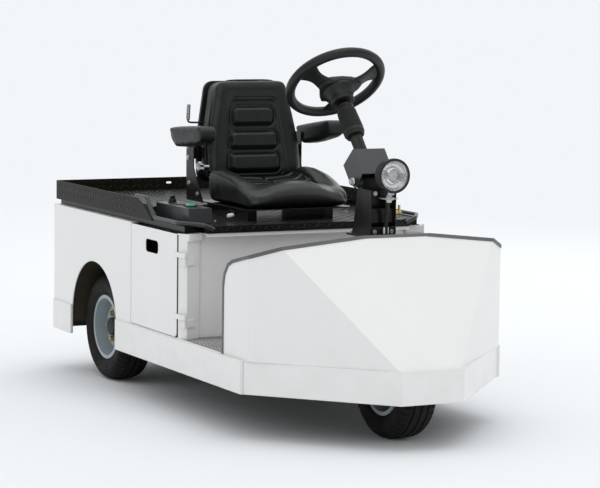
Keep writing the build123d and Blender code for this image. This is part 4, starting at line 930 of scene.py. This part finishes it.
for vert in cushion.data.vertices:
    x, y, z = vert.co
    top = ramp(z - cushion_height(x, y), -0.020, -0.004)
    if top > 0:
        half = 0.150 - 0.02 * ramp(x, -0.15, 0.08)
        panel = box_distance(x + 0.110, y, 0.165, half, 0.05)
        drop = -PANEL_DROP * (1 - ramp(panel, -0.02, 0.004) + seam(panel, 0.005))
        if panel < 0.006:
            drop -= SEAM_DROP * seam(y, 0.0055)
            for line in SEAM_LINES:
                bow = line + SEAM_BOW * (1 - abs(y) / half)
                drop -= SEAM_DROP * seam(x - bow, 0.006)
        vert.co.z += drop * top
    if z > BACK_FOOT:
        vert.co.x = max(vert.co.x, cushion_low.x + 0.018)
    vert.co.z = max(vert.co.z, cushion_low.z)
cover(cushion, vinyl)
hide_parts("seat_cushion")

# %% [markdown]
# ## The armrests
# Each armrest is a moulded foam wedge with a flat top and a bulbous front end. It is
# firm, so pressure hardly swells it.

# %% Armrest covers
for side in ("right", "left"):
    arm = soft_copy(f"armrest_{side}", 0.0015, 0.005, 24)
    inflate(arm, 0.003, 2.0, 8)
    refine(arm)
    cover(arm, moulded)
    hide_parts(f"armrest_{side}")

# %% [markdown]
# ## The steering wheel
# The wheel is one moulding: a padded ring, two side spokes that flare into it, a
# bottom spoke, a broad centre pad with a bowed top, and a hub that narrows to a
# collar on the column. It is built flat in its own plane and then stood at the
# column's angle. It rides on the steering wheel's body, so it turns with it.

# %% Steering wheel
LEAN = radians(48.5)
RING_RADIUS, GRIP_RADIUS, GRIP_STEPS = 0.183, 0.0192, 20
WHEEL_HEIGHT = 0.368
SPOKE_FOOT, SPOKE_LENGTH = 0.046, 0.136
column_up = Vector((-cos(LEAN), 0, sin(LEAN)))
column_across = Vector((sin(LEAN), 0, cos(LEAN)))
column_base = Vector((0.676, 0, 1.036))


def on_column(height):
    """Frame on the column's line: X to the driver's right, Y up the wheel, Z to the driver."""
    turn = Matrix((Vector((0, -1, 0)), column_across, column_up)).transposed().to_4x4()
    return Matrix.Translation(column_base + column_up * height) @ turn


wheel_place = on_column(WHEEL_HEIGHT)
bm = bmesh.new()
ring = []
for k in range(GRIP_STEPS + 1):
    angle = 2 * pi * k / GRIP_STEPS
    ring.append((RING_RADIUS + GRIP_RADIUS * cos(angle), GRIP_RADIUS * sin(angle)))
lathe(bm, ring, wheel_place, 96)
wheel_ring = finished_piece("steering_wheel_ring", bm, "steering_wheel", moulded)
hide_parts("steering_wheel")

for angle, breadth in ((66, 1.0), (-66, 1.0), (194, 0.6)):
    bm = bmesh.new()
    bmesh.ops.create_cube(bm, size=1.0)
    long_edges = [e for e in bm.edges if abs(e.verts[0].co.y - e.verts[1].co.y) > 0.5]
    bmesh.ops.subdivide_edges(bm, edges=long_edges, cuts=9)
    for vert in bm.verts:
        s = vert.co.y + 0.5  # 0 at the hub, 1 at the ring
        width = (0.084 - 0.022 * ramp(s, 0.0, 0.45) + 0.062 * ramp(s, 0.5, 1.0)) * breadth
        deep = 0.030 - 0.012 * ramp(s, 0.0, 0.7)
        rise_z = -0.034 + 0.032 * ramp(s, 0.0, 0.9)
        along = SPOKE_FOOT + s * SPOKE_LENGTH
        vert.co = Vector((vert.co.x * width, along, rise_z + vert.co.z * deep))
    bmesh.ops.transform(
        bm, matrix=wheel_place @ Matrix.Rotation(-radians(angle), 4, "Z"), verts=bm.verts
    )
    spoke = finished_piece(f"steering_wheel_spoke_{angle}", bm, "steering_wheel", moulded,
                           80)
    soften = spoke.modifiers.new("soften", "SUBSURF")
    soften.levels = soften.render_levels = 2

bm = bmesh.new()
pad = [(-0.050, -0.066), (0.050, -0.066), (0.068, -0.022), (0.085, 0.010), (0.089, 0.036),
       (0.079, 0.050), (0.042, 0.060), (0, 0.064), (-0.042, 0.060), (-0.079, 0.050),
       (-0.089, 0.036), (-0.085, 0.010), (-0.068, -0.022)]
plate(bm, pad, 0.030, wheel_place @ Matrix.Translation((0, 0, -0.046)), 0.007, 3)
finished_piece("steering_wheel_pad", bm, "steering_wheel", moulded, 50)

bm = bmesh.new()
hub = [(0.0, -0.040), (0.064, -0.042), (0.066, -0.048), (0.060, -0.060), (0.047, -0.080),
       (0.0475, -0.086), (0.0475, -0.101), (0.045, -0.105), (0.026, -0.106), (0.026, -0.094),
       (0.0, -0.093)]
lathe(bm, hub, wheel_place, 48)
made = bmesh.ops.create_cone(
    bm, cap_ends=True, segments=40, radius1=0.031, radius2=0.029, depth=0.004
)
cap_place = wheel_place @ Matrix.Translation((0, -0.004, -0.0145))
bmesh.ops.transform(bm, matrix=cap_place, verts=made["verts"])
finished_piece("steering_wheel_hub", bm, "steering_wheel", moulded, 40)
print("steering wheel built")

# %% [markdown]
# ## Column sleeve and flutes
# A rubber sleeve with fine rings covers the column's joint, with a smooth collar at
# each end. Below it the tube is fluted. The sleeve is a lathe with a ridge for each
# ring; the flutes are a star outline given a length.

# %% Sleeve and flutes
bm = bmesh.new()
sleeve = [(0.0215, 0.101), (0.033, 0.101), (0.036, 0.104), (0.0365, 0.110), (0.038, 0.112),
          (0.0405, 0.115), (0.0410, 0.127), (0.0400, 0.130), (0.0385, 0.1315)]
RINGS, RING_STEP, FIRST_RING = 12, 0.0073, 0.1325
for ring_number in range(RINGS):
    foot = FIRST_RING + ring_number * RING_STEP
    body_radius = 0.0415 - 0.0040 * ring_number / (RINGS - 1)
    sleeve += [(body_radius - 0.0020, foot), (body_radius, foot + 0.0016),
               (body_radius, foot + 0.0044), (body_radius - 0.0020, foot + 0.0060)]
sleeve += [(0.0355, 0.221), (0.0355, 0.226), (0.033, 0.228), (0.0215, 0.228)]
lathe(bm, sleeve, on_column(0), 48)
sleeve_piece = finished_piece("column_sleeve", bm, "chassis", rubber, 30)
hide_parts("column_boot")

bm = bmesh.new()
plate(bm, cog(44, 0.0222, 0.0243), 0.1, on_column(0.0005))
finished_piece("column_flutes", bm, "chassis", moulded, 20)
bm = bmesh.new()
lathe(bm, [(0.0212, 0.0), (0.030, 0.0), (0.030, 0.005), (0.026, 0.008), (0.0212, 0.008)],
      on_column(0.0), 40)
lathe(bm, [(0.0212, 0.245), (0.0245, 0.246), (0.0245, 0.255), (0.0212, 0.256)], on_column(0.0), 40)
finished_piece("column_collars", bm, "chassis", black_powder, 30)
print("sleeve rings:", RINGS)

# %% [markdown]
# ## Tilt pivot and small bolts
# The column's bracket tilts on a pivot with zinc nuts outside its plates, and small
# screws hold the plates. Each is a hexagon on a washer.

# %% Nuts and bolts
TOWER_FACE, HITCH_FACE, SEAT_SIDE = 0.8435, -1.1815, 0.2505
screw_z = seat_high.z + 0.0022
pivot = column_base + column_across * -0.009 - column_up * 0.107
pivot_nuts = [(pivot + Vector((0, side * 0.0795, 0)), (0, side, 0)) for side in (-1, 1)]
hex_heads("pivot_nuts", pivot_nuts, 0.0125, 0.011, "chassis", zinc, 1.35)
screws = [((x, y, screw_z), (0, 0, 1)) for x in (0.063, -0.12) for y in (-0.342, 0.342)]
screws += [((TOWER_FACE, y, z), (1, 0, 0)) for y in (-0.036, 0.036) for z in (0.767, 0.912)]
screws += [((x, y, 0.751), (0, 0, 1)) for x in (0.674, 0.848) for y in (-0.05, 0.05)]
hex_heads("deck_screws", screws, 0.006, 0.005, "chassis", zinc)
seat_bolts = []
for side in (-1, 1):
    for x, z in ((-0.402, 1.012), (-0.402, 0.965), (-0.395, 0.86), (-0.31, 0.82)):
        seat_bolts.append(((x, side * SEAT_SIDE, z), (0, side, 0)))
hex_heads("seat_bolts", seat_bolts, 0.0075, 0.006, "chassis", zinc)
tail_bolts = []
for y in (-0.07, 0.07):
    for z in (0.1895, 0.2795):
        tail_bolts.append(((HITCH_FACE, y, z), (-1, 0, 0)))
hex_heads("hitch_bolts", tail_bolts, 0.010, 0.008, "chassis", zinc)
print("bolts placed")

# %% [markdown]
# ## The headlamp
# A deep rubber-ringed bowl holds a mirror, a small bulb and a ribbed glass. The CAD
# solid is closed, so an open housing stands for it here, and the mirror sits inside.
# Short ribs stand round the mirror's mouth, and give the ring of broken sparkle.

# %% Headlamp
lens_low, lens_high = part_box("headlamp_lens")
lamp_z = (lens_low.z + lens_high.z) / 2
lamp_face = turned((lens_high.x + 0.002, 0, lamp_z), (1, 0, 0))
MIRROR_RIBS = 56
bm = bmesh.new()
housing = [(0.0, -0.070), (0.036, -0.070), (0.048, -0.066), (0.058, -0.052), (0.0615, -0.034),
           (0.0620, -0.020), (0.0635, -0.018), (0.0655, -0.015), (0.0655, -0.003),
           (0.0640, -0.0005), (0.0600, 0.0), (0.0565, -0.002), (0.0560, -0.006), (0.0575, -0.010),
           (0.0575, -0.030), (0.050, -0.055), (0.0, -0.066)]
lathe(bm, housing, lamp_face, 64)
lamp_housing = finished_piece("lamp_housing", bm, "chassis", rubber, 40)
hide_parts("headlamp")
bm = bmesh.new()
bowl = [(0.0560, -0.010), (0.0545, -0.013), (0.0530, -0.020), (0.0470, -0.034), (0.0370, -0.045),
        (0.0240, -0.053), (0.0120, -0.057), (0.0, -0.058)]
lathe(bm, bowl, lamp_face, 48)
finished_piece("lamp_reflector", bm, "chassis", mirror, 24)
bm = bmesh.new()
lay = Matrix.Translation((0.0505, 0, -0.0165)) @ Matrix.Rotation(radians(38), 4, "Y")
for k in range(MIRROR_RIBS):
    made = bmesh.ops.create_cone(
        bm, cap_ends=True, segments=5, radius1=0.0014, radius2=0.0014, depth=0.012
    )
    turn = Matrix.Rotation(2 * pi * k / MIRROR_RIBS, 4, "Z")
    bmesh.ops.transform(bm, matrix=lamp_face @ turn @ lay, verts=made["verts"])
finished_piece("lamp_mirror_ribs", bm, "chassis", mirror, 30)
bm = bmesh.new()
lathe(bm, [(0.0, -0.024), (0.006, -0.025), (0.0085, -0.031), (0.0085, -0.046), (0.006, -0.056)],
      lamp_face, 24)
lathe(bm, [(0.0, -0.019), (0.018, -0.019), (0.019, -0.021), (0.018, -0.023), (0.0, -0.023)],
      lamp_face, 32)
finished_piece("lamp_bulb", bm, "chassis", chrome)
print("headlamp built, ribs:", MIRROR_RIBS)

# %% [markdown]
# ## Under the lamp
# The lamp stands on a bent plate with a nut, and its cable loom runs down the front of
# the tower into a pale clip. The loom is short and dressed tight, so it is a plain rod.
# Two brass valve fittings look out of the tower's left side.

# %% Lamp mount, loom and fittings
MOUNT_X, MOUNT_Z = 0.886, 0.898
bm = bmesh.new()
lathe(bm, pin(0.0065, 0.03), turned((MOUNT_X, 0, MOUNT_Z), (0, 0, 1)), 20)
plate(bm, [(0.840, -0.030), (0.905, -0.026), (0.905, 0.026), (0.840, 0.030)], 0.004,
      Matrix.Translation((0, 0, 0.894)), 0.0008, 1)
finished_piece("lamp_mount", bm, "chassis", zinc, 30)
lamp_nuts = [((MOUNT_X, 0, MOUNT_Z), (0, 0, 1)), ((MOUNT_X, 0, 0.8935), (0, 0, -1))]
hex_heads("lamp_nut", lamp_nuts, 0.011, 0.012, "chassis", zinc)
rod("lamp_loom", [(0.872, -0.006, 0.932), (0.880, -0.006, 0.905), (0.868, 0.004, 0.86),
                  (0.853, 0.006, 0.82), (0.850, 0.007, 0.78), (0.850, 0.007, 0.752)],
    0.0085, "chassis", rubber)
bm = bmesh.new()
plate(bm, rectangle(0.010, 0.013), 0.010, turned((0.8455, 0.007, 0.772), (1, 0, 0)), 0.002, 2)
finished_piece("loom_clip", bm, "chassis", white_clip)
bm = bmesh.new()
for x in (0.800, 0.826):
    lathe(bm, [(0.0, 0.0), (0.010, 0.0), (0.010, 0.012), (0.0065, 0.014), (0.0065, 0.022),
               (0.008, 0.023), (0.008, 0.030), (0.0, 0.031)],
          turned((x, 0.0535, 0.835), (0, 1, 0)), 24)
lathe(bm, pin(0.005, 0.03), turned((0.826, 0.076, 0.835), (0, 0, 1)), 20)
finished_piece("valve_fittings", bm, "chassis", yellow_zinc)
print("mount, loom and fittings built")

# %% [markdown]
# ## Tyres
# The tyres are industrial pneumatics: three straight grooves round the tread, short
# notches across the shoulders and faint rings on the sidewalls. The profile is spun
# in many steps, and every other face of the shoulder band is pressed in.

# %% Tyres, hub caps and lug nuts
TYRE_SIDE = [(0.1285, 0.053), (0.1395, 0.0565), (0.1405, 0.0600), (0.1500, 0.0662),
             (0.1520, 0.0676), (0.1530, 0.0672), (0.1660, 0.0722), (0.1850, 0.0735),
             (0.1865, 0.0742), (0.1885, 0.0735), (0.2010, 0.0705), (0.2120, 0.0635),
             (0.2190, 0.0530), (0.2220, 0.0400)]
TREAD_HALF = [(0.2225, 0.0335), (0.2165, 0.0325), (0.2165, 0.0275), (0.2235, 0.0265),
              (0.2248, 0.0040), (0.2185, 0.0030)]
TYRE_STEPS, LUG_NUTS, NUT_RADIUS = 96, 5, 0.057
AXLE_Z, FRONT_AXLE_X, REAR_AXLE_X, REAR_Y = 0.225, 0.954, -0.73, 0.422


def tyre(label, body, centre, side):
    """A tyre with its hub cap, lug nuts and valve, seen from the side that faces out."""
    bm = bmesh.new()
    half = TYRE_SIDE + TREAD_HALF
    profile = half + [(r, -h) for r, h in reversed(half)] + [half[0]]
    place = turned(centre, (0, side, 0))
    lathe(bm, profile, place, TYRE_STEPS)
    inverse = place.inverted()
    notches = []
    for face in bm.faces:
        spot = inverse @ face.calc_center_median()
        if 0.204 < hypot(spot.x, spot.y) < 0.2205 and abs(spot.z) > 0.045:
            turns = spot.xy.angle_signed(Vector((1, 0))) / (2 * pi)
            if round(turns * TYRE_STEPS - 0.5) % 2 == 0:
                notches.append(face)
    bmesh.ops.recalc_face_normals(bm, faces=bm.faces)
    bmesh.ops.inset_individual(bm, faces=notches, thickness=0.0022, depth=-0.0030)
    piece = finished_piece(label + "_tread", bm, body, tyre_rubber, 28)
    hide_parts(label + "_tyre")
    bm = bmesh.new()
    lathe(bm, [(0.0, 0.046), (0.017, 0.046), (0.026, 0.043), (0.0365, 0.0405), (0.0385, 0.036),
               (0.0385, 0.021), (0.0, 0.021)], place, 40)
    finished_piece(label + "_hub_cap", bm, body, chassis_black)
    nuts = []
    for k in range(LUG_NUTS):
        angle = pi + 2 * pi * k / LUG_NUTS
        spot = place @ Vector((NUT_RADIUS * cos(angle), NUT_RADIUS * sin(angle), 0.0200))
        nuts.append((spot, (0, side, 0)))
    hex_heads(label + "_lug_nuts", nuts, 0.0105, 0.016, body, yellow_zinc, 1.35)
    bm = bmesh.new()
    stem = place @ Vector((0.111, 0.0, 0.012))
    lean = place.to_3x3() @ Vector((-0.25, 0.0, 1.0))
    lathe(bm, [(0.0, 0.0), (0.005, 0.0), (0.0045, 0.020), (0.0055, 0.021), (0.0055, 0.034),
               (0.0, 0.035)], turned(stem, lean), 16)
    finished_piece(label + "_valve", bm, body, rubber)


tyre("front", "front_wheel", (FRONT_AXLE_X, 0.0, AXLE_Z), -1)
tyre("rear_right", "rear_right_wheel", (REAR_AXLE_X, -REAR_Y, AXLE_Z), -1)
tyre("rear_left", "rear_left_wheel", (REAR_AXLE_X, REAR_Y, AXLE_Z), 1)
print("tyres built")

# %% [markdown]
# ## Console controls
# The console beside the seat carries a key switch with a black collar and a green
# rocker. They are small lathes and rounded plates set into its top.

# %% Key switch and rocker
console_low, console_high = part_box("console")
console_top = console_high.z
KEY_X, KEY_Y, ROCKER_X, ROCKER_Y = -0.165, -0.425, 0.010, -0.414
bm = bmesh.new()
lathe(bm, [(0.0, 0.0), (0.019, 0.0), (0.019, 0.003), (0.015, 0.005), (0.015, 0.014),
           (0.0125, 0.016), (0.0, 0.016)], turned((KEY_X, KEY_Y, console_top), (0, 0, 1)), 32)
plate(bm, rectangle(0.004, 0.013), 0.013,
      turned((KEY_X, KEY_Y, console_top + 0.015), (0, 0, 1), 0.4), 0.002, 2)
plate(bm, rectangle(0.040, 0.022), 0.003,
      turned((-0.088, KEY_Y, console_top), (0, 0, 1)), 0.001, 1)
finished_piece("key_switch", bm, "chassis", moulded, 40)
bm = bmesh.new()
rocker = [(-0.022, 0.0), (-0.020, 0.010), (0.0, 0.006), (0.020, 0.013), (0.022, 0.0)]
plate(bm, rocker, 0.022, turned((ROCKER_X, ROCKER_Y, console_top), (0, -1, 0)), 0.0015, 2)
finished_piece("green_rocker", bm, "chassis", green_switch, 40)
bm = bmesh.new()
plate(bm, rectangle(0.030, 0.018), 0.004,
      turned((ROCKER_X, KEY_Y, console_top), (0, 0, 1)), 0.0015, 2)
finished_piece("rocker_frame", bm, "chassis", moulded, 40)
print("console is", round(console_top - console_low.z, 3), "high")

# %% [markdown]
# ## Seat adjusters
# A ribbed chrome grip on a bent black rod stands at the backrest's right, and a
# chromed star knob clamps the tilt. A pale latch handle pokes out under the cushion.

# %% Adjusters
bm = bmesh.new()
GRIP_RINGS, GRIP_STEP = 9, 0.006
grip = [(0.0, 0.0), (0.0075, 0.0)]
for k in range(GRIP_RINGS):
    grip += [(0.0085, 0.004 + k * GRIP_STEP), (0.0072, 0.0075 + k * GRIP_STEP)]
grip += [(0.0085, 0.060), (0.006, 0.064), (0.0, 0.065)]
lathe(bm, grip, turned((-0.383, -0.262, 1.124), (0.10, 0, 1)), 24)
finished_piece("recline_grip", bm, "chassis", chrome, 25)
rod("recline_rod", [(-0.383, -0.262, 1.130), (-0.385, -0.262, 1.119), (-0.376, -0.260, 1.113),
                    (-0.360, -0.245, 1.113), (-0.356, -0.224, 1.113), (-0.356, -0.200, 1.113)],
    0.004, "chassis", black_powder)
bm = bmesh.new()
star = cog(24, 0.0185, 0.0235, run=2)
plate(bm, star, 0.022, turned((-0.262, -0.250, 0.935), (0, -1, 0)), 0.003, 2)
lathe(bm, pin(0.010, 0.03), turned((-0.262, -0.222, 0.935), (0, -1, 0)), 20)
finished_piece("tilt_knob", bm, "chassis", chrome, 30)
rod("slide_latch", [(-0.06, -0.215, 0.777), (0.02, -0.225, 0.775), (0.045, -0.245, 0.768),
                    (0.052, -0.262, 0.765)], 0.0045, "chassis", black_powder)
bm = bmesh.new()
latch = [(0.0, 0.0), (0.006, 0.001), (0.0085, 0.006), (0.009, 0.026), (0.006, 0.034), (0.0, 0.035)]
lathe(bm, latch, turned((0.048, -0.252, 0.767), (0.35, -0.9, -0.1)), 20)
finished_piece("latch_handle", bm, "chassis", white_clip)
print("adjusters built")

# %% [markdown]
# ## Piping
# A thin cord of vinyl is sewn round the backrest's face and hides the seam there. Half
# of its line is given up one side of the back, and the other half is its mirror image.

# %% Piping of the backrest
PIPING_DEPTH = 0.030


def back_point(across, up, depth):
    """A point on the backrest: across it, up its lean and behind its face."""
    return back_origin + Vector((0, across, 0)) + back_up * up - back_out * depth


half_line = [(0.0, 0.4150), (0.084, 0.4150), (0.116, 0.409), (0.141, 0.393), (0.160, 0.368),
             (0.172, 0.330), (0.192, 0.240), (0.213, 0.145), (0.2145, 0.06), (0.207, 0.024),
             (0.180, 0.007), (0.09, 0.005)]
loop = half_line + [(-across, up) for across, up in reversed(half_line[1:])]
piping = [back_point(across, up, PIPING_DEPTH) for across, up in loop]
rod("backrest_piping", piping, 0.0032, "chassis", vinyl, cyclic=True)
print("piping points:", len(piping))

# %% [markdown]
# ## Stop strips, painted seam shade and the band's flange
# Each door closes against a white strip that is fixed inside the body side, and a black
# strip in the seam at its hinges is painted shade: it stands for the shadow in that gap.
# The bands along the foot of the body are folded over at the top, and their flange closes
# the gap to the cowl and under the doors. The strips are plain bars, the same on both flanks. The
# front flange is one flat outline.

# %% Door stops, seals and flanges
STOP_HEIGHTS, SEAM_SHADE_HEIGHTS = (0.305, 0.705), (0.304, 0.709)


def side_strips(bm, xs, ys, zs):
    """The same straight bar on both flanks; ys are distances from the middle plane."""
    for side in (-1, 1):
        low_y, high_y = sorted((side * ys[0], side * ys[1]))
        low, high = Vector((xs[0], low_y, zs[0])), Vector((xs[1], high_y, zs[1]))
        made = bmesh.ops.create_cube(bm, size=1.0)
        size = Matrix.Diagonal((*(high - low), 1.0))
        place = Matrix.Translation((low + high) / 2) @ size
        bmesh.ops.transform(bm, matrix=place, verts=made["verts"])


bm = bmesh.new()
side_strips(bm, (-0.318, -0.300), (0.5405, 0.5448), STOP_HEIGHTS)
side_strips(bm, (-0.301, -0.286), (0.5405, 0.5428), STOP_HEIGHTS)
finished_piece("door_stops", bm, "chassis", white_enamel)
# The black strip in the hinge seam is painted shade: it stands for the shadow in that gap.
bm = bmesh.new()
side_strips(bm, (0.1675, 0.1795), (0.5460, 0.5496), SEAM_SHADE_HEIGHTS)
finished_piece("door_seam_shade", bm, "chassis", rubber)
bm = bmesh.new()
side_strips(bm, (-0.4455, 0.577), (0.5430, 0.5498), (0.2945, 0.3008))
outer = [(0.577, 0.5535), (0.779, 0.5535), (1.2395, 0.1288)]
inner = [(0.577, -0.5405), (0.778, -0.5405), (1.222, -0.124)]
outline = outer + [(x, -y) for x, y in reversed(outer)] + inner
outline += [(x, -y) for x, y in reversed(inner)]
plate(bm, outline, 0.003, Matrix.Translation((0, 0, 0.2943)))
finished_piece("band_flanges", bm, "chassis", white_enamel)
print("door stops, seals and flanges fitted")
